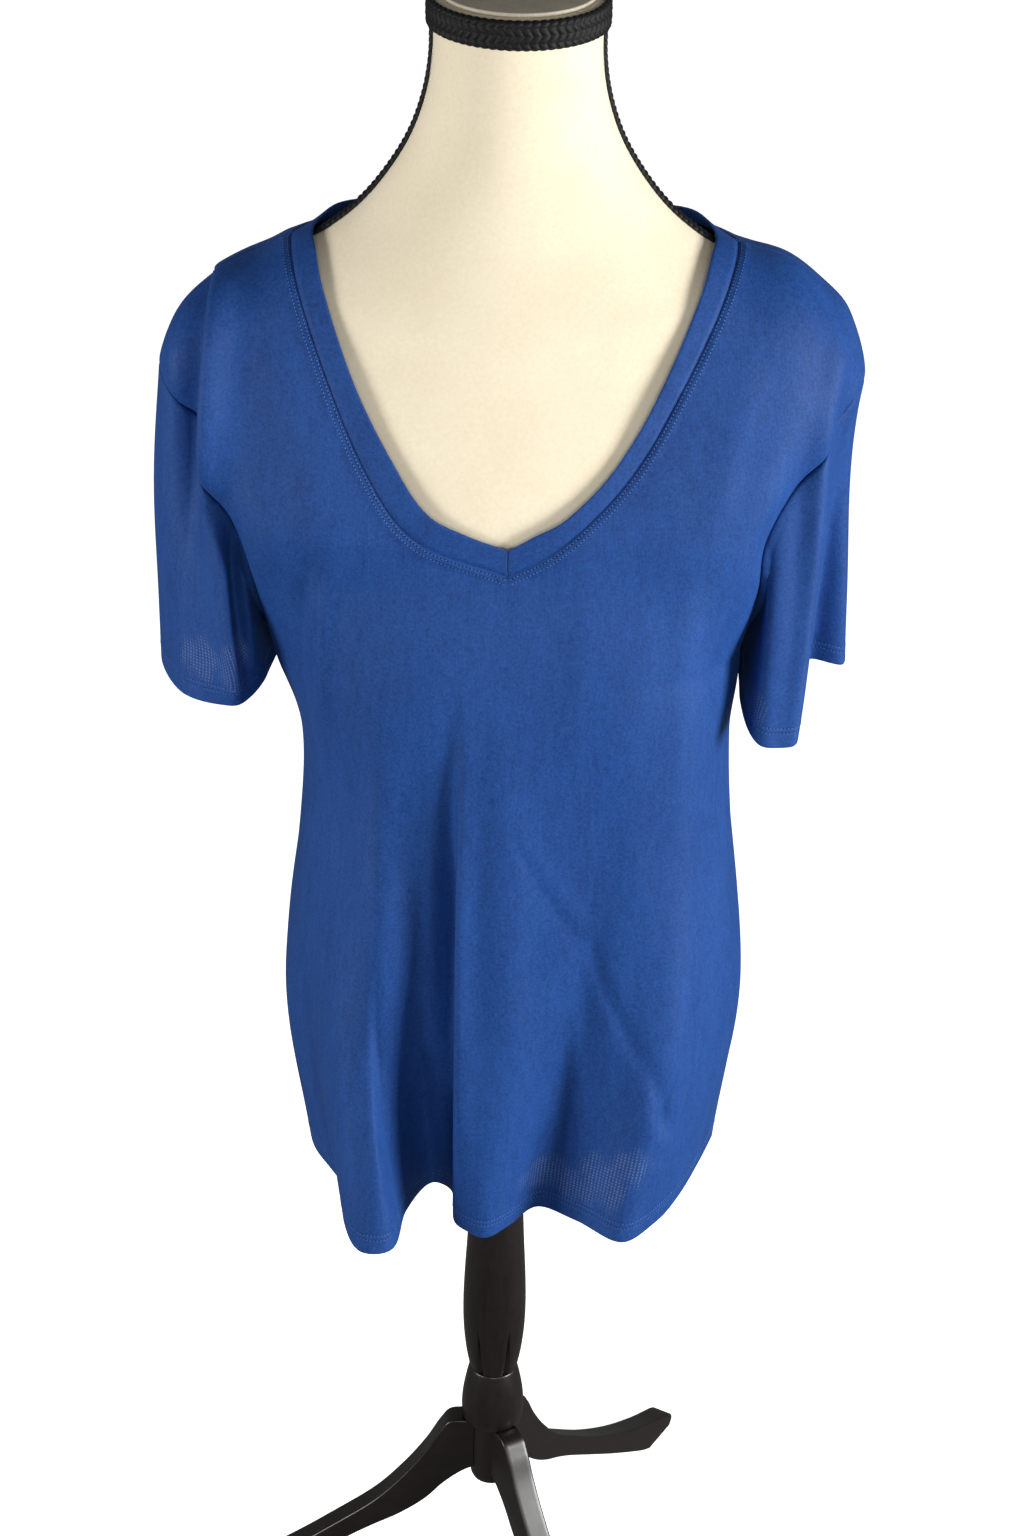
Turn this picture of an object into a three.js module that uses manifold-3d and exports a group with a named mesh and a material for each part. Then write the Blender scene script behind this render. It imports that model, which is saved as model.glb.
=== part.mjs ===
// A v-neck t-shirt on a limbless dress form with a tripod stand.
// Millimetres, +Z up, the front faces -Y, and +X is the wearer's left side.
import * as THREE from 'three';
import { mergeVertices } from 'three/addons/utils/BufferGeometryUtils.js';
import Module from 'manifold-3d';

const wasm = await Module();
wasm.setup();

// ---------------------------------------------------------------- driving dimensions
const KNIT = 1.2; // wall of a single layer of cloth
const BAND = 2.0; // wall of the folded neckband
const SEAM = 0.4; // gap left between two sewn pieces
const TOUCH = 0.3; // gap left between two hard pieces

const HALF_COLUMNS = 12; // steps across half the front, and along a shoulder seam
const BACK_NECK_COLUMNS = 5; // steps along half the back neck
const SKIRT_ROWS = 10; // steps from the hem to the underarm
const CHEST_ROWS = 3; // steps from the underarm to the point of the V
const NECK_ROWS = 5; // steps from the point of the V to the last row before the shoulder
const TURN_ROWS = 4; // steps over the shoulder's turn to its seam
const SLEEVE_ROWS = 6; // steps from the armhole to the cuff

// Rows of the front, one for each level, from the hem to the shoulder seam. Each row runs from
// the middle (in*) to the side seam or armhole (out*). square rounds (2) or squares (3) the turn.
// lean moves the whole row towards +X, and slant its inner end only. leftSquare is the square of
// the wearer's left side, where it differs.
const withDefaults = (rows) => rows.map((row) => ({ slant: 0, leftSquare: row.square, ...row }));

const FRONT_ROWS = withDefaults([
  { row: 'hem', lean: 6, inX: 0, inY: -108, inZ: 473, outX: 148, outY: 4, outZ: 473, square: 2.2 },
  { row: 'hip', lean: 8, inX: 0, inY: -116, inZ: 614, outX: 157, outY: 4, outZ: 614, square: 2.4 },
  { row: 'waist', lean: 8, inX: 0, inY: -117, inZ: 788, outX: 141, outY: 4, outZ: 780, square: 2.6 },
  { row: 'underarm', lean: 0, inX: 0, inY: -116, inZ: 888, outX: 149, outY: 4, outZ: 872, square: 2.8 },
  { row: 'point', lean: 0, inX: 0, inY: -101.5, inZ: 959, outX: 157, outY: -55, outZ: 930, square: 2.5 },
  {
    row: 'low neck', lean: -4, slant: -7,
    inX: 46, inY: -99.5, inZ: 981, outX: 165, outY: -62, outZ: 968, square: 2.3,
  },
  {
    row: 'mid neck', lean: -3, slant: -3.3,
    inX: 83.5, inY: -89, inZ: 1026, outX: 180, outY: -58, outZ: 1000, square: 2.1,
  },
  {
    row: 'high neck', lean: 0, slant: -2,
    inX: 121, inY: -60, inZ: 1100, outX: 204, outY: -38, outZ: 1034, square: 2, leftSquare: 2.1,
  },
  {
    row: 'shoulder', lean: 0,
    inX: 139, inY: 0, inZ: 1143.2, outX: 222, outY: 0, outZ: 1057, square: 1.52, leftSquare: 1.75,
  },
]);
const BACK_ROWS = withDefaults([
  { row: 'hem', lean: 6, inX: 0, inY: 106, inZ: 473, outX: 148, outY: 4, outZ: 473, square: 2.2 },
  { row: 'hip', lean: 8, inX: 0, inY: 114, inZ: 614, outX: 157, outY: 4, outZ: 614, square: 2.4 },
  { row: 'waist', lean: 8, inX: 0, inY: 102, inZ: 788, outX: 141, outY: 4, outZ: 780, square: 2.6 },
  { row: 'underarm', lean: 0, inX: 0, inY: 100, inZ: 888, outX: 149, outY: 4, outZ: 872, square: 2.8 },
  { row: 'blade', lean: 0, inX: 0, inY: 97, inZ: 990, outX: 160, outY: 56, outZ: 925, square: 2.6 },
  { row: 'upper', lean: 0, inX: 0, inY: 90, inZ: 1060, outX: 178, outY: 62, outZ: 985, square: 2.4 },
  {
    row: 'yoke', lean: 0,
    inX: 0, inY: 79, inZ: 1102, outX: 204, outY: 40, outZ: 1030, square: 2, leftSquare: 2.15,
  },
  {
    row: 'shoulder', lean: 0,
    inX: 0, inY: 66, inZ: 1129, outX: 222, outY: 0, outZ: 1057, square: 1.52, leftSquare: 1.75,
  },
]);
// Half the back neckline, from the centre back to the shoulder seam.
const BACK_NECK = [
  { at: 0, x: 0, y: 66, z: 1129 },
  { at: 0.35, x: 52, y: 62.5, z: 1131 },
  { at: 0.7, x: 100, y: 46.5, z: 1140.5 },
  { at: 1, x: 139, y: 0, z: 1143.2 },
];
// The folds of the hem, by the angle round the shirt (0 at the middle of the panel), with the
// place of each crest and trough at the hem and the height where that fold begins.
const FRONT_FOLDS = [
  { fold: 'side seam right', angle: -90, x: -134, y: 6, start: 610 },
  { fold: 'side run', angle: -77, x: -128, y: -30, start: 620 },
  { fold: 'lobe foot', angle: -63, x: -107, y: -76, start: 720 },
  { fold: 'lobe shoulder', angle: -53, x: -103, y: -118, start: 760 },
  { fold: 'lobe crest', angle: -44, x: -90, y: -148, start: 780 },
  { fold: 'lobe end', angle: -37, x: -67, y: -138, start: 800 },
  { fold: 'trough wall', angle: -30, x: -60, y: -98, start: 820 },
  { fold: 'trough floor', angle: -22, x: -44, y: -70, start: 830 },
  { fold: 'small lobe wall', angle: -15, x: -28, y: -100, start: 820 },
  { fold: 'small lobe crest', angle: -8, x: -12, y: -127, start: 800 },
  { fold: 'soft trough edge', angle: 2, x: 8, y: -114, start: 780 },
  { fold: 'soft trough floor', angle: 14, x: 30, y: -99, start: 790 },
  { fold: 'wide lobe rise', angle: 26, x: 55, y: -111, start: 780 },
  { fold: 'wide lobe crest', angle: 40, x: 86, y: -135, start: 760 },
  { fold: 'wide lobe end', angle: 52, x: 110, y: -110, start: 740 },
  { fold: 'side run left', angle: 68, x: 133, y: -66, start: 640 },
  { fold: 'side seam left', angle: 90, x: 153, y: -6, start: 610 },
];
const BACK_FOLDS = [
  { fold: 'side seam right', angle: -90, x: -134, y: 6, start: 610 },
  { fold: 'side lobe', angle: -74, x: -136, y: 46, start: 650 },
  { fold: 'side trough', angle: -60, x: -112, y: 66, start: 700 },
  { fold: 'first crest', angle: -47, x: -98, y: 112, start: 760 },
  { fold: 'first trough', angle: -31, x: -62, y: 92, start: 790 },
  { fold: 'middle crest', angle: -14, x: -34, y: 130, start: 800 },
  { fold: 'middle trough', angle: 4, x: 2, y: 96, start: 820 },
  { fold: 'wide crest rise', angle: 18, x: 34, y: 112, start: 790 },
  { fold: 'wide crest', angle: 32, x: 62, y: 128, start: 780 },
  { fold: 'wide crest end', angle: 46, x: 90, y: 110, start: 760 },
  { fold: 'last trough', angle: 60, x: 108, y: 74, start: 720 },
  { fold: 'last lobe', angle: 75, x: 138, y: 48, start: 650 },
  { fold: 'side seam left', angle: 90, x: 153, y: -6, start: 610 },
];
// The plan of each cuff, from the underarm round the front, the outside and the back.
const LEFT_CUFF = [
  { place: 'underarm', at: 0, x: 158, y: 2, z: 846 },
  { place: 'front inside', at: 0.09, x: 157, y: -34, z: 838 },
  { place: 'front lobe', at: 0.21, x: 166, y: -76, z: 829 },
  { place: 'front edge', at: 0.3, x: 186, y: -66, z: 827 },
  { place: 'fold wall', at: 0.38, x: 190, y: -26, z: 834 },
  { place: 'fold floor', at: 0.45, x: 202, y: 8, z: 844 },
  { place: 'outside', at: 0.54, x: 224, y: 18, z: 840 },
  { place: 'back outside', at: 0.66, x: 220, y: 56, z: 840 },
  { place: 'back', at: 0.78, x: 190, y: 72, z: 844 },
  { place: 'back inside', at: 0.9, x: 162, y: 42, z: 847 },
];
const RIGHT_CUFF = [
  { place: 'underarm', at: 0, x: -156, y: 2, z: 848 },
  { place: 'front inside', at: 0.11, x: -160, y: -34, z: 842 },
  { place: 'front', at: 0.24, x: -181, y: -60, z: 842 },
  { place: 'front outside', at: 0.37, x: -212, y: -43, z: 841 },
  { place: 'outside', at: 0.5, x: -229, y: 4, z: 842 },
  { place: 'back outside', at: 0.64, x: -220, y: 50, z: 841 },
  { place: 'back', at: 0.77, x: -190, y: 69, z: 845 },
  { place: 'back inside', at: 0.89, x: -163, y: 40, z: 848 },
];
// The fold edge of the neckband, each place opposite a place along the neck seam: a row of
// FRONT_ROWS from the point to the shoulder, and then 1 more at the centre back.
const BAND_EDGE = [
  { place: 'point', at: 4, x: 0, y: -101, z: 977, slant: 0 },
  { place: 'low', at: 4.7, x: 20.5, y: -101.5, z: 986.5, slant: -5.5 },
  { place: 'low neck', at: 5.2, x: 43, y: -99.5, z: 999, slant: -7 },
  { place: 'mid neck', at: 6, x: 68.5, y: -92, z: 1030, slant: -3.3 },
  { place: 'high neck', at: 6.7, x: 95, y: -76, z: 1077, slant: -2.4 },
  { place: 'below shoulder', at: 7.33, x: 115, y: -49, z: 1124, slant: -1.2 },
  { place: 'turn', at: 7.67, x: 121, y: -27.5, z: 1142.5, slant: -0.5 },
  { place: 'shoulder', at: 8, x: 122.8, y: 0, z: 1148.4, slant: 0 },
  { place: 'back shoulder', at: 8.2, x: 110, y: 32.5, z: 1150.5, slant: 0 },
  { place: 'back neck', at: 8.5, x: 77, y: 51, z: 1148, slant: 0 },
  { place: 'back', at: 8.8, x: 33, y: 60.5, z: 1147, slant: 0 },
  { place: 'centre back', at: 9, x: 0, y: 62, z: 1146, slant: 0 },
];

// Rings of the form from the bottom up: its half width and the height of its two ends, then how
// far forward and back it reaches, and the heights of those middles.
const FORM_RINGS = [
  { ring: 'bottom', half: 134, end: 556, front: -88, frontZ: 556, back: 98, backZ: 556, square: 2.3 },
  { ring: 'hip', half: 143, end: 620, front: -96, frontZ: 620, back: 104, backZ: 620, square: 2.3 },
  { ring: 'belly', half: 132, end: 700, front: -96, frontZ: 700, back: 90, backZ: 700, square: 2.3 },
  { ring: 'waist', half: 114, end: 790, front: -84, frontZ: 790, back: 68, backZ: 790, square: 2.3 },
  { ring: 'rib', half: 124, end: 860, front: -92, frontZ: 860, back: 78, backZ: 860, square: 2.3 },
  { ring: 'bust', half: 138, end: 946, front: -100, frontZ: 946, back: 86, backZ: 950, square: 2.4 },
  { ring: 'chest', half: 150, end: 990, front: -98, frontZ: 982, back: 89, backZ: 992, square: 2.3 },
  { ring: 'arm plate', half: 167, end: 1028, front: -95, frontZ: 1010, back: 88, backZ: 1024, square: 2.2 },
  { ring: 'arm', half: 181, end: 1060, front: -90, frontZ: 1037, back: 83, backZ: 1056, square: 2.1 },
  { ring: 'arm end', half: 187, end: 1086, front: -84, frontZ: 1058, back: 75, backZ: 1081, square: 2 },
  { ring: 'outer', half: 181, end: 1108, front: -77, frontZ: 1082, back: 68, backZ: 1102, square: 1.9 },
  { ring: 'shoulder', half: 163, end: 1125, front: -71, frontZ: 1103, back: 61.5, backZ: 1120, square: 1.9 },
  { ring: 'mid shoulder', half: 139, end: 1136, front: -65, frontZ: 1121, back: 56, backZ: 1139, square: 1.9 },
  { ring: 'inner', half: 116, end: 1147.5, front: -60, frontZ: 1137, back: 53.5, backZ: 1157.5, square: 2 },
  { ring: 'neck root', half: 91, end: 1169, front: -56, frontZ: 1155, back: 52, backZ: 1180, square: 2 },
  { ring: 'low neck', half: 69, end: 1200, front: -52, frontZ: 1182, back: 51, backZ: 1206, square: 2 },
  { ring: 'neck', half: 57, end: 1229, front: -51, frontZ: 1216, back: 51, backZ: 1232, square: 2 },
  { ring: 'slim neck', half: 51.5, end: 1260, front: -51, frontZ: 1256, back: 51, backZ: 1260, square: 2 },
  { ring: 'neck top', half: 52, end: 1296, front: -52, frontZ: 1296, back: 52, backZ: 1296, square: 2 },
];

// The trims of the form.
const NECK_TRIM = { inner: 52.8, outer: 56.2, bottom: 1279, top: 1296 };
const NECK_DISC = { radius: 47, bottom: 1296.3, top: 1299 };
const SIDE_TRIM = { thickness: 1.2, halfTurn: 0.07, from: 10, to: 17.5 };
const BASE_BOARD = { inset: 3, bottom: 547, top: 555.7 };

// The stand: turned profiles from the bottom up, and the edges of a leg from the hub outwards.
const PLANK = 18;
const LEG_FIT = 0.4; // cut off the inner end of a leg, all round the hub and the collar
const LEG_TURNS = [180, -60, 60];
const POLE_PROFILE = [
  { radius: 17.6, height: 258 },
  { radius: 20.4, height: 274 },
  { radius: 22.4, height: 294 },
  { radius: 23, height: 316 },
  { radius: 22.3, height: 342 },
  { radius: 20.5, height: 378 },
  { radius: 18.6, height: 430 },
  { radius: 17.6, height: 490 },
  { radius: 17.6, height: 546.7 },
];
const COLLAR_PROFILE = [
  { radius: 17, height: 205.3 },
  { radius: 21.4, height: 208.5 },
  { radius: 23, height: 218 },
  { radius: 22.4, height: 232 },
  { radius: 20, height: 247 },
  { radius: 17.6, height: 257.7 },
];
const HUB_PROFILE = [
  { radius: 9, height: 150 },
  { radius: 14, height: 153 },
  { radius: 16, height: 160 },
  { radius: 16, height: 205 },
];
const LEG_TOP = [
  { reach: 10, height: 208 },
  { reach: 30, height: 208 },
  { reach: 39, height: 198 },
  { reach: 50, height: 178 },
  { reach: 66, height: 155 },
  { reach: 88, height: 130 },
  { reach: 118, height: 106 },
  { reach: 155, height: 79 },
  { reach: 200, height: 51 },
  { reach: 245, height: 28 },
  { reach: 278, height: 14 },
  { reach: 285, height: 7 },
  { reach: 281, height: 0 },
];
const LEG_BOTTOM = [
  { reach: 246, height: 0 },
  { reach: 230, height: 9 },
  { reach: 185, height: 39 },
  { reach: 145, height: 67 },
  { reach: 111, height: 91 },
  { reach: 91, height: 104 },
  { reach: 69, height: 117 },
  { reach: 50, height: 132 },
  { reach: 36, height: 148 },
  { reach: 22, height: 160 },
  { reach: 10, height: 166 },
];

// ---------------------------------------------------------------- curves through tables
const radians = THREE.MathUtils.degToRad;
const clamp01 = (value) => Math.min(1, Math.max(0, value));
const lerp = THREE.MathUtils.lerp;

// One column of a table at a place along it, on a smooth curve through its rows. The rows' own
// places are in the column named by, or are their numbers where by is null.
function along(rows, name, place, by = null) {
  const at = (i) => (by ? rows[i][by] : i);
  const last = rows.length - 1;
  let i = 0;
  while (i < last - 1 && place > at(i + 1)) i += 1;
  const slope = (j) => {
    const low = Math.max(0, j - 1);
    const high = Math.min(last, j + 1);
    return (rows[high][name] - rows[low][name]) / (at(high) - at(low));
  };
  const span = at(i + 1) - at(i);
  const u = (place - at(i)) / span;
  const blend = 3 * u ** 2 - 2 * u ** 3;
  const slopes = (u ** 3 - 2 * u ** 2 + u) * slope(i) + (u ** 3 - u ** 2) * slope(i + 1);
  return lerp(rows[i][name], rows[i + 1][name], blend) + slopes * span;
}

// The same on a table that closes on itself after a place of 1.
function around(rows, name, place) {
  const before = rows.slice(-2).map((row) => ({ ...row, at: row.at - 1 }));
  const after = rows.slice(0, 2).map((row) => ({ ...row, at: row.at + 1 }));
  return along([...before, ...rows, ...after], name, place, 'at');
}

// The same on a table whose curve turns a corner at one row.
function cornered(rows, name, place, corner) {
  if (place <= corner) return along(rows.slice(0, corner + 1), name, place);
  return along(rows.slice(corner), name, place - corner);
}

// Even steps between two values, without the last.
const steps = (from, to, count) => Array.from({ length: count }, (_, i) => lerp(from, to, i / count));

// ---------------------------------------------------------------- the shirt's panels
const UNDERARM = 3; // its row in both panels' tables
const POINT = 4; // the row of the V's point in FRONT_ROWS
const HEM_Z = FRONT_ROWS[0].inZ;
const BACK_NECK_ANGLE = 40; // where the back neck ends and the shoulder seam begins
const SHOULDER_ROUND = radians(25); // how far round its arc the shoulder's turn begins
const FOLD_SPREAD = 1.4; // above 1, a fold opens slowly at its top

// A point of one row of a panel: a quarter of a superellipse from the row's inner end, at the
// middle or the neck, to its outer end, at the side seam or the armhole. side is 1 on the
// wearer's left and -1 on the right, and angle runs from 0, the inner end, to 90.
function rowPoint(rows, corner, side, angle, place) {
  const inner = (name) => cornered(rows, name, place, corner);
  const outer = (name) => cornered(rows, name, place, UNDERARM);
  const power = 2 / along(rows, side > 0 ? 'leftSquare' : 'square', place);
  const across = Math.sin(radians(angle)) ** power;
  const back = Math.max(0, Math.cos(radians(angle))) ** power;
  return new THREE.Vector3(
    side * lerp(inner('inX'), outer('outX'), across) + outer('lean') + inner('slant') * (1 - across),
    lerp(outer('outY'), inner('inY'), back),
    lerp(outer('outZ'), inner('inZ'), back),
  );
}

// The same, moved towards its place in the folds by how far down its fold it lies.
function foldedPoint(rows, folds, corner, side, angle, place) {
  const point = rowPoint(rows, corner, side, angle, place);
  const hem = rowPoint(rows, corner, side, angle, 0);
  const start = along(folds, 'start', side * angle, 'angle');
  const reach = clamp01((start - point.z) / (start - HEM_Z)) ** FOLD_SPREAD;
  point.x += reach * (along(folds, 'x', side * angle, 'angle') - hem.x);
  point.y += reach * (along(folds, 'y', side * angle, 'angle') - hem.y);
  return point;
}

// Rounds the top of a panel over the shoulder, from its last row but one to its top edge.
function roundOver(low, top, share) {
  const turn = lerp(SHOULDER_ROUND, Math.PI / 2, share);
  const fall = Math.cos(turn) / Math.cos(SHOULDER_ROUND);
  const rise = (Math.sin(turn) - Math.sin(SHOULDER_ROUND)) / (1 - Math.sin(SHOULDER_ROUND));
  return low.clone().lerp(top, rise).setY(lerp(top.y, low.y, fall));
}

const FRONT_TOP = FRONT_ROWS.length - 1;
const BACK_TOP = BACK_ROWS.length - 1;

function frontPoint(side, angle, place) {
  const share = place - FRONT_TOP + 1;
  if (share <= 0) return foldedPoint(FRONT_ROWS, FRONT_FOLDS, POINT, side, angle, place);
  const low = rowPoint(FRONT_ROWS, POINT, side, angle, FRONT_TOP - 1);
  const top = rowPoint(FRONT_ROWS, POINT, side, angle, FRONT_TOP);
  return roundOver(low, top, share);
}

// The back's top edge: its neckline, and then the shoulder seam that it shares with the front.
function backTop(side, angle) {
  const share = angle / BACK_NECK_ANGLE;
  if (share > 1) {
    const seamAngle = (90 * (angle - BACK_NECK_ANGLE)) / (90 - BACK_NECK_ANGLE);
    return frontPoint(side, seamAngle, FRONT_TOP);
  }
  const neck = (name) => along(BACK_NECK, name, share, 'at');
  return new THREE.Vector3(side * neck('x'), neck('y'), neck('z'));
}

function backPoint(side, angle, place) {
  const share = place - BACK_TOP + 1;
  if (share <= 0) return foldedPoint(BACK_ROWS, BACK_FOLDS, BACK_TOP, side, angle, place);
  const low = rowPoint(BACK_ROWS, BACK_TOP, side, angle, BACK_TOP - 1);
  return roundOver(low, backTop(side, angle), share);
}

// ---------------------------------------------------------------- sheets and walls
// A sheet is a list of patches, and a patch is a list of rows of points, from the lowest row
// up, each going anticlockwise as seen from above, so that the sheet faces outwards.
const pointKey = (point) => point.toArray().map((value) => Math.round(value * 100)).join();

function sheetTriangles(sheet) {
  const triangles = [];
  for (const patch of sheet) {
    for (let i = 0; i + 1 < patch.length; i += 1) {
      for (let j = 0; j + 1 < patch[i].length; j += 1) {
        const [a, b, c, d] = [patch[i][j], patch[i][j + 1], patch[i + 1][j + 1], patch[i + 1][j]];
        triangles.push([a, b, c], [a, c, d]);
      }
    }
  }
  return triangles;
}

// Every point's outward normal, averaged over all the sheets that share the point, so that two
// pieces sewn together have parallel edges along their seam.
function sharedNormals(sheets) {
  const normals = new Map();
  for (const [a, b, c] of sheets.flatMap(sheetTriangles)) {
    const face = b.clone().sub(a).cross(c.clone().sub(a));
    for (const point of [a, b, c]) {
      const sum = normals.get(pointKey(point)) ?? new THREE.Vector3();
      normals.set(pointKey(point), sum.add(face));
    }
  }
  for (const sum of normals.values()) sum.normalize();
  return normals;
}

// The closed wall of a sheet, half its thickness to each side. Its edges lie half a seam's gap
// inside the sheet's own.
function wallGeometry(sheet, thickness, normals) {
  const points = new Map();
  const edges = new Map();
  const triangles = sheetTriangles(sheet).map((corners) => corners.map((point) => {
    const key = pointKey(point);
    if (!points.has(key)) points.set(key, { point, index: points.size, inward: [] });
    return key;
  }));
  for (const [a, b, c] of triangles) {
    for (const [from, to, across] of [[a, b, c], [b, c, a], [c, a, b]]) {
      if (edges.has(`${to} ${from}`)) edges.delete(`${to} ${from}`);
      else edges.set(`${from} ${to}`, { from, to, across });
    }
  }
  for (const { from, to, across } of edges.values()) {
    const [start, end, third] = [from, to, across].map((key) => points.get(key).point);
    const edge = end.clone().sub(start).normalize();
    const inward = third.clone().sub(start);
    inward.addScaledVector(edge, -inward.dot(edge)).normalize();
    points.get(from).inward.push(inward);
    points.get(to).inward.push(inward);
  }

  const outer = [];
  const inner = [];
  for (const [key, { point, inward }] of points) {
    const place = point.clone();
    if (inward.length === 2) {
      const mitre = (SEAM / 2) / Math.max(0.5, 1 + inward[0].dot(inward[1]));
      place.addScaledVector(inward[0], mitre).addScaledVector(inward[1], mitre);
    }
    outer.push(...place.clone().addScaledVector(normals.get(key), thickness / 2));
    inner.push(...place.addScaledVector(normals.get(key), -thickness / 2));
  }
  const faces = [];
  const lift = points.size; // from a point's number on the outer face to its number on the inner
  for (const corners of triangles) {
    const [a, b, c] = corners.map((key) => points.get(key).index);
    faces.push(a, b, c, a + lift, c + lift, b + lift);
  }
  for (const { from, to } of edges.values()) {
    const [a, b] = [from, to].map((key) => points.get(key).index);
    faces.push(a, b + lift, b, a, a + lift, b + lift);
  }
  const geometry = new THREE.BufferGeometry();
  geometry.setAttribute('position', new THREE.Float32BufferAttribute([...outer, ...inner], 3));
  geometry.setIndex(faces);
  return geometry;
}

// ---------------------------------------------------------------- the cut of the shirt
const SIDES = [-1, 1];
const skirtPlaces = steps(0, UNDERARM, SKIRT_ROWS);
const frontPlaces = [...skirtPlaces, ...steps(UNDERARM, POINT, CHEST_ROWS), POINT];
const neckPlaces = [
  ...steps(POINT, FRONT_TOP - 1, NECK_ROWS),
  ...steps(FRONT_TOP - 1, FRONT_TOP, TURN_ROWS),
  FRONT_TOP,
];
const backPlaces = [
  ...skirtPlaces,
  ...steps(UNDERARM, BACK_TOP - 1, CHEST_ROWS + NECK_ROWS),
  ...steps(BACK_TOP - 1, BACK_TOP, TURN_ROWS),
  BACK_TOP,
];
const frontAngles = [...steps(0, 90, HALF_COLUMNS), 90];
const backAngles = [
  ...steps(0, BACK_NECK_ANGLE, BACK_NECK_COLUMNS),
  ...steps(BACK_NECK_ANGLE, 90, HALF_COLUMNS),
  90,
];

// Both halves of a row of a panel, from one side to the other, which share their middle point.
function wholeRow(pointAt, angles, place) {
  const [right, left] = SIDES.map((side) => angles.map((angle) => pointAt(side, angle, place)));
  return [...right.slice(1).reverse(), ...left];
}

function frontSheet() {
  const skirt = frontPlaces.map((place) => wholeRow(frontPoint, frontAngles, place));
  const halves = SIDES.map((side) => neckPlaces.map((place) => {
    const row = frontAngles.map((angle) => frontPoint(side, angle, place));
    return side < 0 ? row.reverse() : row;
  }));
  return [skirt, ...halves];
}

const backSheet = () => [backPlaces.map((place) => wholeRow(backPoint, backAngles, place).reverse())];

// A sleeve hangs from its armhole, up the front's edge and down the back's, to its cuff. Under
// the arm it first stands out from the body, and then falls.
const RIGHT_FULLNESS = 3;
const LEFT_FULLNESS = -3; // how far a sleeve bows out, or in, half way down
const UNDERARM_STAND = 8; // how far it stands out there
const UNDERARM_ROOM = 1.2; // how far its own edge lies off the panels' there
const STAND_RISE = 0.94; // how far up its length it does so

function sleeveSheet(side, cuff) {
  const fullness = side > 0 ? LEFT_FULLNESS : RIGHT_FULLNESS;
  const frontEdge = [...frontPlaces, ...neckPlaces.slice(1)].slice(SKIRT_ROWS);
  const backEdge = backPlaces.slice(SKIRT_ROWS).reverse().slice(1);
  const armhole = [
    ...frontEdge.map((place) => frontPoint(side, 90, place)),
    ...backEdge.map((place) => backPoint(side, 90, place)),
  ];
  const columns = armhole.length - 1;
  const middle = new THREE.Vector3(side * 190, 0, 0);
  const rises = [...steps(0, STAND_RISE, SLEEVE_ROWS), STAND_RISE, 1];
  const rows = rises.map((rise) => armhole.map((top, i) => {
    const place = (i % columns) / columns;
    const outside = Math.sin(Math.PI * place);
    const under = clamp01(1 - 1.2 * outside ** 2);
    if (rise === 1) return top.clone().setX(top.x + side * UNDERARM_ROOM * under);
    const low = new THREE.Vector3(...['x', 'y', 'z'].map((name) => around(cuff, name, place)));
    const point = low.lerp(top, rise);
    const out = point.clone().sub(middle).setZ(0).normalize();
    point.addScaledVector(out, fullness * Math.sin(Math.PI * rise) * outside);
    point.x += side * UNDERARM_STAND * under * (rise / STAND_RISE);
    return point;
  }));
  return [side < 0 ? rows.map((row) => row.reverse()) : rows];
}

// The neckband runs from the point of the V up the wearer's left side, round the back and down
// the right side, where its ends meet. Its lower edge is the neck seam.
const MITRE = 0.02; // keeps the two ends apart, so that each has its own edge

function neckbandSheet() {
  const half = (side) => {
    const edgeAt = (place) => {
      const [x, y, z, slant] = ['x', 'y', 'z', 'slant'].map((name) => along(BAND_EDGE, name, place, 'at'));
      return new THREE.Vector3(side * x + slant, y, z);
    };
    const front = neckPlaces.map((place) => ({ seam: frontPoint(side, 0, place), edge: edgeAt(place) }));
    const back = backAngles.slice(0, BACK_NECK_COLUMNS).reverse().map((angle) => ({
      seam: backPoint(side, angle, BACK_TOP),
      edge: edgeAt(FRONT_TOP + 1 - angle / BACK_NECK_ANGLE),
    }));
    for (const point of Object.values(front[0])) point.x += side * MITRE;
    return [...front, ...back];
  };
  const [right, left] = SIDES.map(half);
  const loop = [...left, ...right.slice(0, -1).reverse()];
  return [[loop.map(({ seam }) => seam), loop.map(({ edge }) => edge)]];
}

// ---------------------------------------------------------------- the dress form
const FORM_COLUMNS = 32;

// A closed solid through rings of points, each going anticlockwise seen from above.
function loftGeometry(rings) {
  const count = rings[0].length;
  const points = rings.flat();
  const faces = [];
  for (let i = 0; i + 1 < rings.length; i += 1) {
    for (let j = 0; j < count; j += 1) {
      const next = (j + 1) % count;
      const [a, b, c, d] = [i * count + j, i * count + next, (i + 1) * count + next, (i + 1) * count + j];
      faces.push(a, b, c, a, c, d);
    }
  }
  const cap = (first, up) => {
    const middle = new THREE.Vector3();
    for (let j = 0; j < count; j += 1) middle.addScaledVector(points[first + j], 1 / count);
    points.push(middle);
    for (let j = 0; j < count; j += 1) {
      const ends = [first + j, first + ((j + 1) % count)];
      if (!up) ends.reverse();
      faces.push(...ends, points.length - 1);
    }
  };
  cap(0, false);
  cap((rings.length - 1) * count, true);
  const geometry = new THREE.BufferGeometry().setFromPoints(points);
  geometry.setIndex(faces);
  return geometry;
}

function formPoint(place, turn, grow = 0) {
  const ring = (name) => along(FORM_RINGS, name, place);
  const power = 2 / ring('square');
  const across = Math.sign(Math.cos(turn)) * Math.abs(Math.cos(turn)) ** power;
  const deep = Math.abs(Math.sin(turn)) ** power;
  const [reach, middle] = Math.sin(turn) < 0
    ? [ring('front') - grow, ring('frontZ')]
    : [ring('back') + grow, ring('backZ')];
  return new THREE.Vector3(
    across * (ring('half') + grow),
    deep * reach,
    lerp(middle, ring('end'), across ** 2),
  );
}

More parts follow.
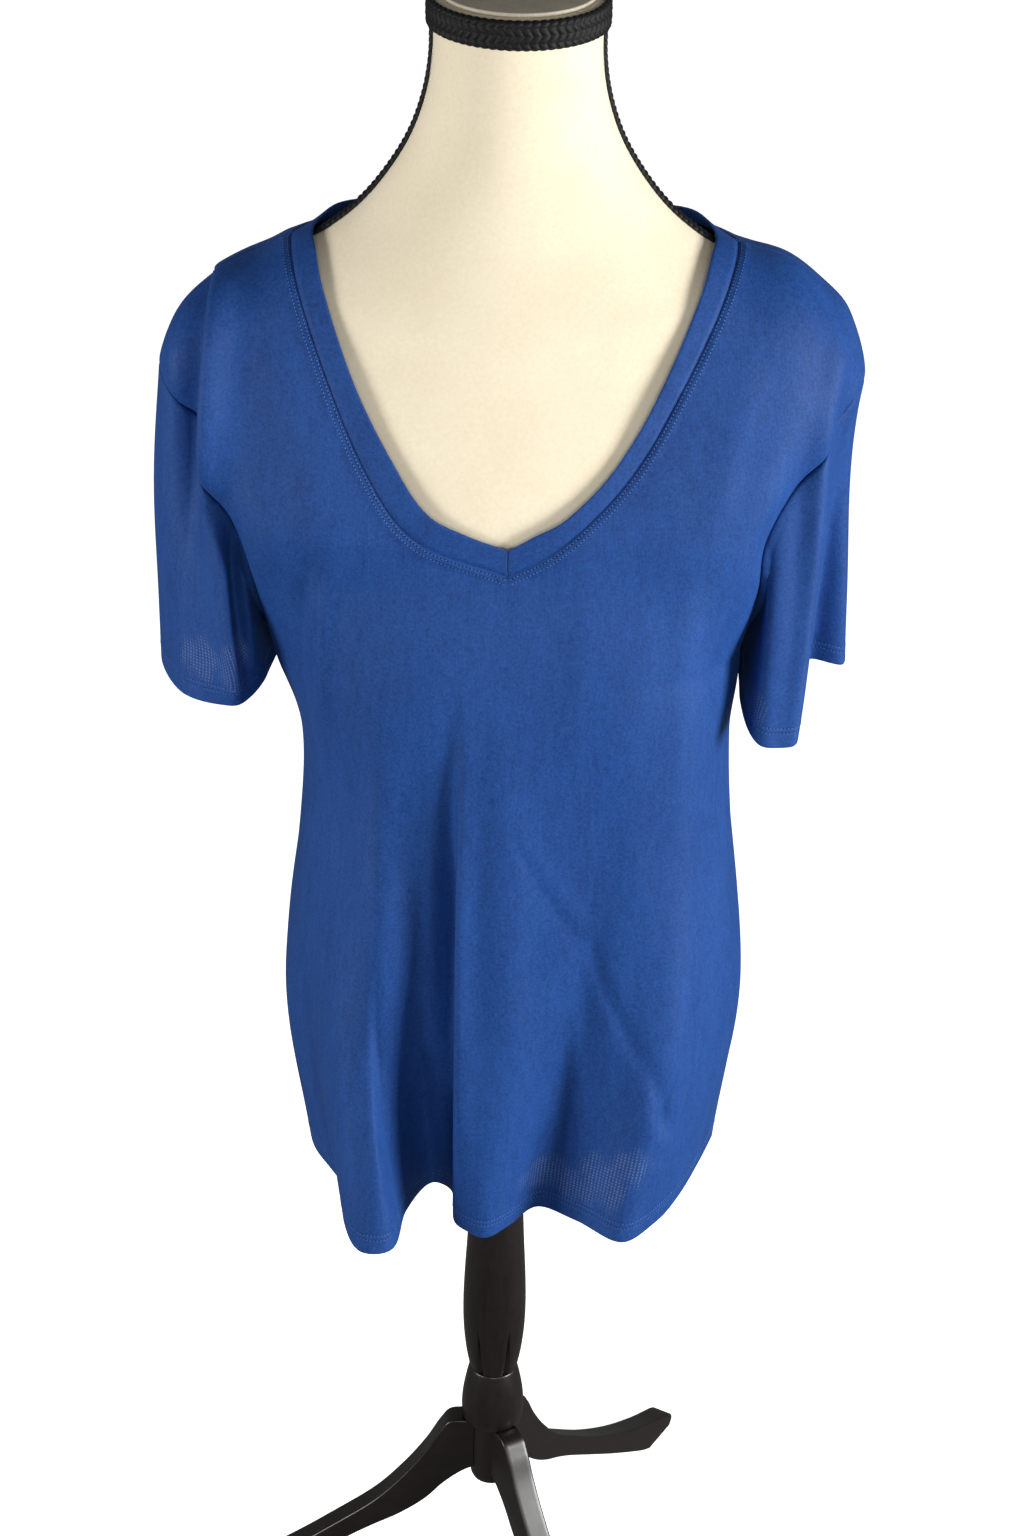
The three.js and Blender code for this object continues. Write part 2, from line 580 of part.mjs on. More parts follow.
// The table's rings, and one more between each two from the arm plates up.
const ARM_PLATE = FORM_RINGS.findIndex(({ ring }) => ring === 'arm plate');
const formPlaces = FORM_RINGS.flatMap((_, i) => (i < ARM_PLATE ? [i] : [i, i + 0.5])).slice(0, -1);

function formGeometry() {
  const turns = steps(0, 2 * Math.PI, FORM_COLUMNS);
  return loftGeometry(formPlaces.map((place) => turns.map((turn) => formPoint(place, turn))));
}

// A band along the side line of the form, from the neck trim down over the shoulder, on the
// form's own surface and half its thickness and a touching gap off it.
function sideTrimGeometry(side) {
  const middleTurn = side > 0 ? 0 : Math.PI;
  const places = formPlaces.filter((place) => place >= SIDE_TRIM.from && place <= SIDE_TRIM.to);
  const rows = places.map((place) => (
    [-1, 0, 1].map((edge) => {
      const turn = middleTurn + edge * SIDE_TRIM.halfTurn;
      const point = formPoint(place, turn);
      const step = 0.01;
      const round = formPoint(place, turn + step).sub(point);
      const up = formPoint(place + step, turn).sub(formPoint(place - step, turn));
      return point.addScaledVector(round.cross(up).normalize(), TOUCH + SIDE_TRIM.thickness / 2);
    })
  ));
  return wallGeometry([rows], SIDE_TRIM.thickness, sharedNormals([[rows]]));
}

function baseBoardGeometry() {
  const turns = steps(0, 2 * Math.PI, FORM_COLUMNS);
  const outlineAt = (z) => turns.map((turn) => formPoint(0, turn, -BASE_BOARD.inset).setZ(z));
  return loftGeometry([outlineAt(BASE_BOARD.bottom), outlineAt(BASE_BOARD.top)]);
}

// ---------------------------------------------------------------- turned and sawn pieces
const TURNED_SEGMENTS = 24;

// A turned solid about the Z axis. grow makes it larger all round, to cut room for it.
function turnedGeometry(profile, grow = 0) {
  const outline = profile.map(({ radius, height }) => new THREE.Vector2(radius + grow, height));
  outline[0].y -= grow;
  outline[outline.length - 1].y += grow;
  const first = new THREE.Vector2(0, outline[0].y);
  const last = new THREE.Vector2(0, outline[outline.length - 1].y);
  return new THREE.LatheGeometry([first, ...outline, last], TURNED_SEGMENTS).rotateX(Math.PI / 2);
}

function neckTrimGeometry() {
  const { inner, outer, bottom, top } = NECK_TRIM;
  const loop = [[inner, bottom], [outer, bottom], [outer, top], [inner, top], [inner, bottom]];
  const profile = loop.map(([radius, height]) => new THREE.Vector2(radius, height));
  return new THREE.LatheGeometry(profile, FORM_COLUMNS).rotateX(Math.PI / 2);
}

function toSolid(geometry) {
  const bare = geometry.clone();
  bare.deleteAttribute('normal');
  bare.deleteAttribute('uv');
  const merged = mergeVertices(bare);
  return new wasm.Manifold(new wasm.Mesh({
    numProp: 3,
    vertProperties: new Float32Array(merged.attributes.position.array),
    triVerts: new Uint32Array(merged.index.array),
  }));
}

function toGeometry(solid) {
  const mesh = solid.getMesh();
  const geometry = new THREE.BufferGeometry();
  geometry.setAttribute('position', new THREE.BufferAttribute(mesh.vertProperties, 3));
  geometry.setIndex(new THREE.BufferAttribute(mesh.triVerts, 1));
  return geometry;
}

// A leg is sawn from a plank, and its inner end is hollowed to fit the hub and the collar.
function legGeometry(turn) {
  const edge = (rows) => {
    const points = rows.map(({ reach, height }) => new THREE.Vector2(reach, height));
    return new THREE.SplineCurve(points).getPoints(2 * (rows.length - 1));
  };
  const outline = [...edge(LEG_TOP), ...edge(LEG_BOTTOM)];
  for (const point of outline) point.y = Math.max(0, point.y);
  const plank = new THREE.ExtrudeGeometry(new THREE.Shape(outline), { depth: PLANK, bevelEnabled: false })
    .translate(0, 0, -PLANK / 2)
    .rotateX(Math.PI / 2)
    .rotateZ(radians(turn));
  return toGeometry(toSolid(plank)
    .subtract(toSolid(turnedGeometry(HUB_PROFILE, LEG_FIT)))
    .subtract(toSolid(turnedGeometry(COLLAR_PROFILE, LEG_FIT))));
}

// ---------------------------------------------------------------- materials
const finish = (color, roughness) => new THREE.MeshStandardMaterial({ color, roughness });
const knit = finish(0x264e91, 0.62);
const cream = finish(0xe9dcc0, 0.85);
const braid = finish(0x0b0b0c, 0.8);
const disc = finish(0xb3a78f, 0.6);
const board = finish(0xb08d5e, 0.7);
const blackWood = finish(0x14110f, 0.35);

// ---------------------------------------------------------------- the whole object
const model = new THREE.Group();

function add(name, geometry, material) {
  const mesh = new THREE.Mesh(geometry, material);
  mesh.name = name;
  model.add(mesh);
}

const shirt = {
  front: frontSheet(),
  back: backSheet(),
  sleeve_left: sleeveSheet(1, LEFT_CUFF),
  sleeve_right: sleeveSheet(-1, RIGHT_CUFF),
  neckband: neckbandSheet(),
};
const seamNormals = sharedNormals(Object.values(shirt));
for (const [name, sheet] of Object.entries(shirt)) {
  add(name, wallGeometry(sheet, name === 'neckband' ? BAND : KNIT, seamNormals), knit);
}

add('form_torso', formGeometry(), cream);
add('form_base', baseBoardGeometry(), board);
add('neck_trim', neckTrimGeometry(), braid);
add('neck_disc', turnedGeometry([
  { radius: NECK_DISC.radius, height: NECK_DISC.bottom },
  { radius: NECK_DISC.radius, height: NECK_DISC.top },
]), disc);
add('side_trim_left', sideTrimGeometry(1), braid);
add('side_trim_right', sideTrimGeometry(-1), braid);

add('pole', turnedGeometry(POLE_PROFILE), blackWood);
add('pole_collar', turnedGeometry(COLLAR_PROFILE), blackWood);
add('hub', turnedGeometry(HUB_PROFILE), blackWood);
LEG_TURNS.forEach((turn, i) => add(`leg_${i + 1}`, legGeometry(turn), blackWood));

// The origin is on the floor, under the middle of the whole object's box.
const box = new THREE.Box3().setFromObject(model);
model.position.set(-(box.min.x + box.max.x) / 2, -(box.min.y + box.max.y) / 2, -box.min.z);
const part = new THREE.Group();
part.add(model);
part.updateMatrixWorld(true);

export default part;
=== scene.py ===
# %% [markdown]
# # A v-neck t-shirt on a dress form
#
# A woman's fine-knit t-shirt hangs on a limbless dress form, on a turned black stand. The frame
# already holds every piece as a plain solid at its true place. This lesson gives each piece its
# real surface: cloth with turned hems, stitching and soft folds, a jersey-covered form, plaited
# braid, and lacquered wood. Every surface is a formula on a grid of two parameters, worked out
# as whole numpy arrays in millimetres about the pole's axis, and put into the frame in metres.

import bpy
import numpy as np
from mathutils import Matrix, Vector


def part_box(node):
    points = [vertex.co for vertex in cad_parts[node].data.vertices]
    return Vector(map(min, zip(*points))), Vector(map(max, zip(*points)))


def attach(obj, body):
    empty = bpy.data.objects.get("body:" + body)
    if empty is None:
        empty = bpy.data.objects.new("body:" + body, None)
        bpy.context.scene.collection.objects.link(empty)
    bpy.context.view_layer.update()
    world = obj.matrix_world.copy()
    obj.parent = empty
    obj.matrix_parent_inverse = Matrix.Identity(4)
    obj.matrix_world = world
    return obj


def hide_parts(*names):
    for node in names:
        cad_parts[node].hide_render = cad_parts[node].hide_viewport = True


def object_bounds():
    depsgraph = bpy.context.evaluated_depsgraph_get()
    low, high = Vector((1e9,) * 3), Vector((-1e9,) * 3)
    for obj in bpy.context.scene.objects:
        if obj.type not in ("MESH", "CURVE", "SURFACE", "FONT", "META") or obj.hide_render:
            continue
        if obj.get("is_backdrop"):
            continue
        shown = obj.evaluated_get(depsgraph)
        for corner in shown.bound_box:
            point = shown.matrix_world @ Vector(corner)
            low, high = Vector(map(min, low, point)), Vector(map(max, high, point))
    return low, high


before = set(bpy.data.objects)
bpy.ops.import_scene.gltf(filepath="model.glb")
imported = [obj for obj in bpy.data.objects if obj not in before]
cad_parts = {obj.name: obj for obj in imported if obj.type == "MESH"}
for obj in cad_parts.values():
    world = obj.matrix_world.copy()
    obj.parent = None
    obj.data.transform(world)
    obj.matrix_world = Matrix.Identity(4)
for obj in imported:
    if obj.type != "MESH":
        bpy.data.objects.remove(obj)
cad_bounds = [list(corner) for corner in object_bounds()]

pole_low, pole_high = (1000 * np.array(corner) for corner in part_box("pole"))
AXIS = np.array([(pole_low[0] + pole_high[0]) / 2, (pole_low[1] + pole_high[1]) / 2, 0.0])
print("nodes:", len(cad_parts), "pole axis at", AXIS.round(2), "mm")

# %% [markdown]
# ## Curves, grids and meshes
#
# A tailor's block is a short table of measures with smooth curves drawn through them. The same
# is done here: a cubic through the rows of a table, which keeps each row's own value. Grids of
# points are then joined to meshes, and points that two grids share are made one, so that a
# panel has no slit down its middle.

# %% Curves through tables
def through(places, values, at):
    """A smooth curve through a table, read at any places. Between two rows it is the cubic that
    starts and ends on their values with their slopes, and a row's slope is that of the straight
    line between the rows on its two sides."""
    places, values, at = (np.asarray(each, float) for each in (places, values, at))
    rows = np.arange(len(places))
    low, high = np.maximum(rows - 1, 0), np.minimum(rows + 1, len(rows) - 1)
    slopes = ((values[high] - values[low]).T / (places[high] - places[low])).T
    i = np.clip(np.searchsorted(places, at, side="right") - 1, 0, len(rows) - 2)
    span = places[i + 1] - places[i]
    u = (at - places[i]) / span
    if values.ndim > 1:
        span, u = span[..., None], u[..., None]
    ends = values[i] + (values[i + 1] - values[i]) * u * u * (3 - 2 * u)
    return ends + span * (u * (1 - u) ** 2 * slopes[i] - u * u * (1 - u) * slopes[i + 1])


def round_loop(places, values, at):
    """The same for a table that closes on itself after a place of 1."""
    places, values = np.asarray(places, float), np.asarray(values, float)
    places = np.concatenate([places[-2:] - 1, places, places[:2] + 1])
    return through(places, np.concatenate([values[-2:], values, values[:2]]), at)


def with_corner(values, at, corner):
    """The same by row numbers, for a curve that turns a sharp corner at one row."""
    rows = np.arange(len(values))
    below = through(rows[: corner + 1], values[: corner + 1], np.minimum(at, corner))
    above = below
    if corner < len(values) - 1:
        above = through(rows[corner:], values[corner:], np.maximum(at, corner))
    return np.where(np.asarray(at) <= corner, below, above)


def mix(low, high, share):
    """A value on the straight way from low to high."""
    return low + (high - low) * share


def smooth_step(low, high, value):
    """0 below low, 1 above high, and between them the soft S of 3 t squared less 2 t cubed."""
    t = np.clip((value - low) / (high - low), 0, 1)
    return t * t * (3 - 2 * t)


def bump(distance, width):
    """A soft bell: 1 at no distance, and e to the power of minus the square of distance/width."""
    return np.exp(-((distance / width) ** 2))


def unit(vectors):
    """Vectors made one long."""
    return vectors / np.maximum(np.linalg.norm(vectors, axis=-1, keepdims=True), 1e-9)


# %% Measures on grids of points
def run_along(points, axis):
    """How far each point of a grid lies from the grid's first one, along its row or column: the
    sum of the straight steps between neighbours."""
    steps = np.linalg.norm(np.diff(points, axis=axis), axis=-1)
    first = np.zeros_like(np.take(steps, [0], axis=axis))
    return np.concatenate([first, np.cumsum(steps, axis=axis)], axis=axis)


def grid_normals(points):
    """The normal at each point of a grid: the cross product of its slope along the row with its
    slope up the column. It points outwards where rows run anticlockwise seen from above."""
    return unit(np.cross(np.gradient(points, axis=1), np.gradient(points, axis=0)))


# %% Meshes from grids
def grid_faces(rows, columns, closed=False):
    """The four-cornered faces of a grid as point numbers. closed joins its last column to its
    first."""
    i, j = np.meshgrid(np.arange(rows - 1), np.arange(columns - (not closed)), indexing="ij")
    k = (j + 1) % columns
    corners = [i * columns + j, i * columns + k, (i + 1) * columns + k, (i + 1) * columns + j]
    return np.stack(corners, axis=-1).reshape(-1, 4)


def tube_faces(rows, columns):
    """The faces of a tube of rows, with one flat face across each end."""
    end = np.arange(columns)
    return [*grid_faces(rows, columns, closed=True), end[::-1], (rows - 1) * columns + end]


MERGE_STEPS = 200  # to a millimetre: points that round to the same step are one point


def new_piece(name, points, faces, uv=None, masks=None, sharp_degrees=45):
    """A mesh object at the origin. Points are in millimetres about the pole's axis, in any grid of
    rows and columns. Those in one place are made one. uv and masks hold a value for each point."""
    points = points.reshape(-1, 3)
    keys = np.round(points * MERGE_STEPS).astype(np.int64)
    _, first, number = np.unique(keys, axis=0, return_index=True, return_inverse=True)
    number = number.ravel()
    mesh = bpy.data.meshes.new(name)
    corners = [list(face) for face in faces]
    merged = [[int(number[i]) for i in face] for face in corners]
    mesh.from_pydata(((points[first] + AXIS) / 1000).tolist(), [], merged)
    if uv is not None:
        flat = np.array([i for face in corners for i in face])
        layer = mesh.uv_layers.new(name="cloth")
        uv = uv.reshape(-1, 2)[flat] / 1000
        layer.data.foreach_set("uv", uv.ravel().astype(np.float32))
    for mask, values in (masks or {}).items():
        layer = mesh.attributes.new(mask, "FLOAT", "POINT")
        layer.data.foreach_set("value", values.ravel()[first].astype(np.float32))
    mesh.update()
    mesh.shade_smooth()
    mesh.set_sharp_from_angle(angle=np.radians(sharp_degrees))
    piece = bpy.data.objects.new(name, mesh)
    bpy.context.scene.collection.objects.link(piece)
    print(f"{name}: {len(mesh.vertices)} points, {len(mesh.polygons)} faces")
    return piece


def dress(piece, material, slot, *nodes):
    """Gives a piece its material and its body, and hides the nodes it stands for.
    The slot is not used.
    """
    piece.data.materials.append(material)
    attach(piece, "root")
    if nodes:
        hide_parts(*nodes)
    return piece


# %% [markdown]
# ## The cut of the shirt
#
# The front and the back are each a stack of curves from the hem to the shoulder. Each curve runs
# from the middle of the panel to its side as a quarter of a superellipse, a circle that may be
# squared or pinched. The hem's folds are a second table: where each crest and trough lies at the
# hem, and how far up it reaches. Above that height the cloth lies smooth over the form. A cloth
# solver could drape the flat pieces instead, but it would find folds of its own, and these are
# meant to be the folds of one shirt.

# %% Tables of the panels
# lean moves the whole curve along x and slant its middle. square is the superellipse's power, and
# left_square the same on the wearer's left.
PANEL_COLUMNS = [
    "lean", "slant", "middle_x", "middle_y", "middle_z", "side_x", "side_y", "side_z",
    "square", "left_square",
]
FRONT_ROWS = [
    (6, 0, 0, -108, 473, 148, 4, 473, 2.2, 2.2),  # hem
    (8, 0, 0, -116, 614, 157, 4, 614, 2.4, 2.4),  # hip
    (8, 0, 0, -117, 788, 141, 4, 780, 2.6, 2.6),  # waist
    (0, 0, 0, -116, 888, 149, 4, 872, 2.8, 2.8),  # underarm
    (0, 0, 0, -103.4, 959, 157, -55, 930, 2.5, 2.5),  # point of the V
    (-4, -7, 46, -101.2, 981, 165, -62, 968, 2.3, 2.3),
    (-3, -3.3, 83.5, -89, 1026, 180, -58, 1000, 2.1, 2.1),
    (0, -2, 121, -60, 1100, 204, -38, 1034, 2.0, 2.1),
    (0, 0, 139, 0, 1143.2, 222, 0, 1057, 1.52, 1.75),  # shoulder seam
]
BACK_ROWS = [
    (6, 0, 0, 106, 473, 148, 4, 473, 2.2, 2.2),  # hem
    (8, 0, 0, 114, 614, 157, 4, 614, 2.4, 2.4),  # hip
    (8, 0, 0, 102, 788, 141, 4, 780, 2.6, 2.6),  # waist
    (0, 0, 0, 100, 888, 149, 4, 872, 2.8, 2.8),  # underarm
    (0, 0, 0, 97, 990, 160, 56, 925, 2.6, 2.6),  # blades
    (0, 0, 0, 90, 1060, 178, 62, 985, 2.4, 2.4),
    (0, 0, 0, 79, 1102, 204, 40, 1030, 2.0, 2.15),  # yoke
    (0, 0, 0, 66, 1129, 222, 0, 1057, 1.52, 1.75),  # shoulder seam
]
UNDERARM, POINT, FRONT_TOP, BACK_TOP = 3, 4, 8, 7  # rows of the tables
HEM_Z = 473
# share of half the back neckline, x, y, z
BACK_NECK = [
    (0, 0, 66, 1129),
    (0.35, 52, 62.5, 1131),
    (0.7, 100, 46.5, 1140.5),
    (1, 139, 0, 1143.2),
]
BACK_NECK_ANGLE = 40  # the back's columns up to this angle end at its neck
SHOULDER_ROUND = np.radians(25)  # the part of the quarter turn that the shoulder leaves out
FOLD_SPREAD = 1.4  # above 1, so that a fold opens slowly at first and faster near the hem
# angle round the panel, x and y at the hem, height where the fold begins
FRONT_FOLDS = [
    (-90, -134, 6, 610),
    (-77, -128, -30, 620),
    (-63, -107, -76, 720),
    (-53, -103, -118, 760),
    (-44, -90, -148, 780),  # the right lobe's crest
    (-37, -67, -138, 800),
    (-30, -60, -98, 820),
    (-22, -44, -70, 830),  # the main trough's floor
    (-15, -28, -100, 820),
    (-8, -12, -127, 800),  # the small lobe's crest
    (2, 8, -114, 780),
    (14, 30, -99, 790),  # the soft trough
    (26, 55, -111, 780),
    (40, 86, -135, 760),  # the wide lobe's crest
    (52, 110, -110, 740),
    (68, 133, -66, 640),
    (90, 153, -6, 610),
]
BACK_FOLDS = [
    (-90, -134, 6, 610),
    (-74, -136, 46, 650),
    (-60, -112, 66, 700),
    (-47, -98, 112, 760),
    (-31, -62, 92, 790),
    (-14, -34, 130, 800),
    (4, 2, 96, 820),
    (18, 34, 112, 790),
    (32, 62, 128, 780),
    (46, 90, 110, 760),
    (60, 108, 74, 720),
    (75, 138, 48, 650),
    (90, 153, -6, 610),
]
front_rows = dict(zip(PANEL_COLUMNS, np.array(FRONT_ROWS, float).T))
back_rows = dict(zip(PANEL_COLUMNS, np.array(BACK_ROWS, float).T))
front_folds, back_folds = np.array(FRONT_FOLDS, float), np.array(BACK_FOLDS, float)
back_neck = np.array(BACK_NECK, float)

# %% The smooth shape of a panel
def row_point(rows, neck_row, side, angle, place):
    """A point of a panel. across is the sine of the angle and back its cosine, both to the power
    of 2 over the row's square; x goes from the middle to the side by across, and y and z come
    back from the side to the middle by back. side is 1 on the wearer's left and -1 on the right."""
    angle, place = np.broadcast_arrays(np.radians(angle), np.asarray(place, float))
    numbers = np.arange(len(rows["square"]))
    square = through(numbers, rows["left_square" if side > 0 else "square"], place)
    power = 2 / square
    across = np.sin(angle) ** power
    back = np.maximum(np.cos(angle), 0) ** power
    middle = [with_corner(rows[f"middle_{axis}"], place, neck_row) for axis in "xyz"]
    outer = [with_corner(rows[f"side_{axis}"], place, UNDERARM) for axis in "xyz"]
    lean = with_corner(rows["lean"], place, UNDERARM)
    slant = with_corner(rows["slant"], place, neck_row)
    x = side * mix(middle[0], outer[0], across) + lean + slant * (1 - across)
    return np.stack([x, mix(outer[1], middle[1], back), mix(outer[2], middle[2], back)], axis=-1)


def folded_point(rows, folds, neck_row, side, angle, place):
    """The same point drawn towards its fold. The share is how far down the fold it lies, to the
    power of the spread, and at the hem it has gone all the way to the fold table's place."""
    point = row_point(rows, neck_row, side, angle, place)
    hem = row_point(rows, neck_row, side, angle, 0)
    turn = np.broadcast_to(side * np.asarray(angle, float), point.shape[:-1])
    x, y, start = through(folds[:, 0], folds[:, 1:], turn).transpose(-1, *range(turn.ndim))
    share = np.clip((start - point[..., 2]) / (start - HEM_Z), 0, 1) ** FOLD_SPREAD
    point[..., 0] += share * (x - hem[..., 0])
    point[..., 1] += share * (y - hem[..., 1])
    return point


def round_over(low, top, share):
    """The shoulder's turn, a quarter of an ellipse less its first 25 degrees: y falls away with
    the cosine while x and z rise with the sine."""
    turn = mix(SHOULDER_ROUND, np.pi / 2, np.clip(share, 0, 1))
    fall = np.cos(turn) / np.cos(SHOULDER_ROUND)
    rise = (np.sin(turn) - np.sin(SHOULDER_ROUND)) / (1 - np.sin(SHOULDER_ROUND))
    point = mix(low, top, rise[..., None])
    point[..., 1] = mix(top[..., 1], low[..., 1], fall)
    return point


def front_point(side, angle, place):
    """The front: folded below, and rounded over the shoulder above its last row but one."""
    angle, place = np.broadcast_arrays(np.asarray(angle, float), np.asarray(place, float))
    flat_place = np.minimum(place, FRONT_TOP - 1)
    below = folded_point(front_rows, front_folds, POINT, side, angle, flat_place)
    low, top = (row_point(front_rows, POINT, side, angle, FRONT_TOP - step) for step in (1, 0))
    above = round_over(low, top, place - FRONT_TOP + 1)
    return np.where((place > FRONT_TOP - 1)[..., None], above, below)


def back_top(side, angle):
    """The back's top edge: the neckline, and then the shoulder seam that the front shares."""
    share = angle / BACK_NECK_ANGLE
    neck = through(back_neck[:, 0], back_neck[:, 1:], np.minimum(share, 1)) * [side, 1, 1]
    seam_angle = 90 * np.maximum(angle - BACK_NECK_ANGLE, 0) / (90 - BACK_NECK_ANGLE)
    return np.where((share > 1)[..., None], front_point(side, seam_angle, FRONT_TOP), neck)


def back_point(side, angle, place):
    """The back: folded below, and rounded over to its top edge."""
    angle, place = np.broadcast_arrays(np.asarray(angle, float), np.asarray(place, float))
    flat_place = np.minimum(place, BACK_TOP - 1)
    below = folded_point(back_rows, back_folds, BACK_TOP, side, angle, flat_place)
    low = row_point(back_rows, BACK_TOP, side, angle, BACK_TOP - 1)
    above = round_over(low, back_top(side, angle), place - BACK_TOP + 1)
    return np.where((place > BACK_TOP - 1)[..., None], above, below)


print("shoulder seam from", front_point(1, 0, 8).round(1), "to", front_point(1, 90, 8).round(1))

# %% [markdown]
# ## Creases
#
# Soft cloth never lies quite even. Each crease is a line on the shirt with a depth and a width:
# a ridge where the depth is above 0, a trough below 0. A tuck is a step, a ridge with a trough
# close beside it, as where a sleeve's cloth doubles over. They move points only by where those
# points are, so two panels that meet at a seam move together.

# %% Creases and tucks
# from x and z, to x and z, bow (how far the middle swings to the line's left), depth, width
SHOULDER_CREASES = [
    (-155, 1210, -155, 1090, 0, -3.0, 15),  # the shoulders' straighter fall
    (150, 1210, 150, 1090, 0, -3.0, 15),
    (-206, 1180, -206, 1050, 0, 2.6, 11),  # and their tips
    (208, 1180, 208, 1050, 0, 2.6, 11),
]
FRONT_CREASES = SHOULDER_CREASES + [
    (-90, 900, -96, 520, 2, 1.6, 15),  # the column of cloth below each side of the bust
    (112, 940, 118, 600, 2, 3.2, 13),
    (-76, 860, -72, 452, 0, 10.0, 17),
    (-65, 740, -61, 470, 0, 13.0, 14),  # the main trough's soft side, its floor and its full side
    (-37, 800, -37, 560, 0, -6.0, 7),
    (0, 860, 4, 380, 0, 9.0, 20),
    (-106, 1210, -106, 1120, 0, -2.4, 12),  # beside the neck on the right shoulder
    (4, 790, 60, 690, -4, -3.0, 3.2),  # a thin crease from the middle to the left
    (60, 700, 106, 590, -6, -2.2, 4.0),
    (-2, 802, 56, 702, -3, 1.6, 7),
    (66, 770, 12, 420, 8, -6.5, 17),  # a fan of soft troughs over the hem's high place
    (48, 660, 54, 500, 3, 2.0, 7),
    (-142, 690, -104, 452, -5, -1.6, 2.2),  # the right side seam's own line
    (-126, 640, -98, 460, -3, 1.4, 9),
    (100, 606, 114, 536, 3, -2.8, 4),  # small wrinkles above the left of the hem
    (121, 592, 106, 524, -4, -2.6, 3.6),
    (94, 566, 124, 520, 3, 2.0, 5),
    (132, 655, 138, 575, -2, -1.5, 4.5),
    (-157, 965, -145, 825, 0, 5.0, 9),  # the sides' edges under the arms
    (152, 950, 145, 825, 0, 4.0, 9),
    (-172, 1070, -128, 930, -5, 1.8, 10),  # drags from the shoulders to the bust
    (-150, 1090, -112, 960, 6, 1.4, 12),
    (172, 1080, 132, 930, 5, 1.6, 11),
    (150, 1110, 118, 970, 4, 1.2, 10),
    (190, 1126, 206, 1090, 3, -1.4, 6),
    (-14, 966, -5, 952, 1, -0.5, 2.2),  # the band's pull beside the point
    (12, 962, 20, 950, 1, -0.4, 2.0),
]
BACK_CREASES = SHOULDER_CREASES + [
    (-70, 930, -20, 800, 6, -2.2, 12),
    (80, 900, 30, 760, -8, -2.4, 13),
    (20, 1040, 60, 960, 4, -1.3, 10),
    (-40, 700, -70, 560, 4, 1.8, 10),
    (60, 760, 74, 460, 5, 3.2, 18),
    (-8, 800, -20, 450, 6, -4.0, 14),
    (120, 640, 128, 540, 3, -1.6, 5),
    (-96, 600, -84, 520, -3, -1.5, 5),
    (150, 1080, 120, 950, 5, 1.6, 11),
    (-150, 1080, -118, 950, -5, 1.7, 11),
]
# the same, and lap, how far each side slides over the other. A depth above 0 raises the side
# towards +X and lowers the other.
FRONT_TUCKS = [
    (-29, 850, -29, 380, 0, 7.0, 5.5, 4.4),  # the edge of the main trough
    (-176, 1205, -194, 955, -3, 14.0, 8.0, 8.0),  # the right shoulder
    (206, 1110, 198, 1010, 3, -2.6, 6.0, 1.2),  # the left shoulder
    (-177, 970, -170, 850, -3, -12.0, 6.0, 4.0),  # the right sleeve's inner side
    (201, 1060, 192, 780, 2, -8.0, 7.0, 3.0),  # the left sleeve's front edge
    (-119, 962, -122, 840, -2, 2.6, 6.0, 0.8),  # beside the right side of the bust
]
BACK_TUCKS = [
    (-30, 860, -48, 360, 4, 7.0, 9.0, 2.0),
    (104, 800, 92, 360, -5, -5.0, 8.0, 1.5),
]
CREASE_START, CREASE_END = (-0.15, 0.35), (0.7, 1.15)  # where on its line it rises and dies away
LONG_WAVES = [  # waves a metre in x, in y and in z, start of the wave, depth
    (5.1, 3.3, 2.2, 0.4, 0.55),
    (-4.2, 5.7, 3.1, 2.1, 0.45),
    (9.7, -6.1, 4.9, 4.4, 0.3),
    (7.4, 8.8, -6.3, 1.2, 0.3),
    (15.3, 9.2, 4.1, 3.3, 0.18),
    (27.0, 14.0, 6.0, 5.2, 0.09),
]


def beside_line(points, row):
    """How far across each point lies from a bowed line, and how much of the crease is there: a
    smooth rise and fall along the line. Across is positive on the line's left, and the bow is a
    parabola of 4 times the share along it times the share that is left."""
    x0, z0, x1, z1, bow = row[:5]
    way = np.array([x1 - x0, z1 - z0], float)
    length = np.hypot(*way)
    along = ((points[..., 0] - x0) * way[0] + (points[..., 2] - z0) * way[1]) / length**2
    across = ((points[..., 2] - z0) * way[0] - (points[..., 0] - x0) * way[1]) / length
    across = across - 4 * bow * along * (1 - along) * (along > 0) * (along < 1)
    ends = smooth_step(*CREASE_START, along) * (1 - smooth_step(*CREASE_END, along))
    return across, ends


def crease_depth(points, creases):
    """How far a set of creases pushes each point out: a bell across each line."""
    total = np.zeros(points.shape[:-1])
    for row in creases:
        across, ends = beside_line(points, row)
        total = total + row[5] * ends * bump(across, row[6])
    return total


def tuck_shift(points, tucks):
    """How far a set of tucks lifts each point off the body along y, and how far it moves it along
    x. A tuck rises on one side of its line and falls on the other: t times e to the power of (1
    less t squared) / 2, where t is the distance across over the width. x closes up on the line,
    so that the proud side laps over the low one."""
    out, slide = np.zeros(points.shape[:-1]), np.zeros(points.shape[:-1])
    for row in tucks:
        across, ends = beside_line(points, row)
        t = across / row[6]
        step = ends * t * np.exp((1 - t * t) / 2)
        out, slide = out + row[5] * step, slide - row[7] * step
    return out, slide


def ripple(points):
    """The cloth's own slight unevenness: a sum of long sine waves in x, y and z."""
    total = np.zeros(points.shape[:-1])
    for in_x, in_y, in_z, start, depth in LONG_WAVES:
        turn = 2 * np.pi * (points @ np.array([in_x, in_y, in_z]) / 1000) + start
        total = total + depth * np.sin(turn)
    return total


OUT_BY_AXIS = (0.45, 1, 0)  # how much x and y count in the way out, for a flat body
SHOULDER_HEIGHTS = (1080, 1150)  # between these the way out turns from level to upwards
CREASES_CHANGE, TUCKS_CHANGE = (-25, 15), (0, 45)  # y where the front gives way to the back


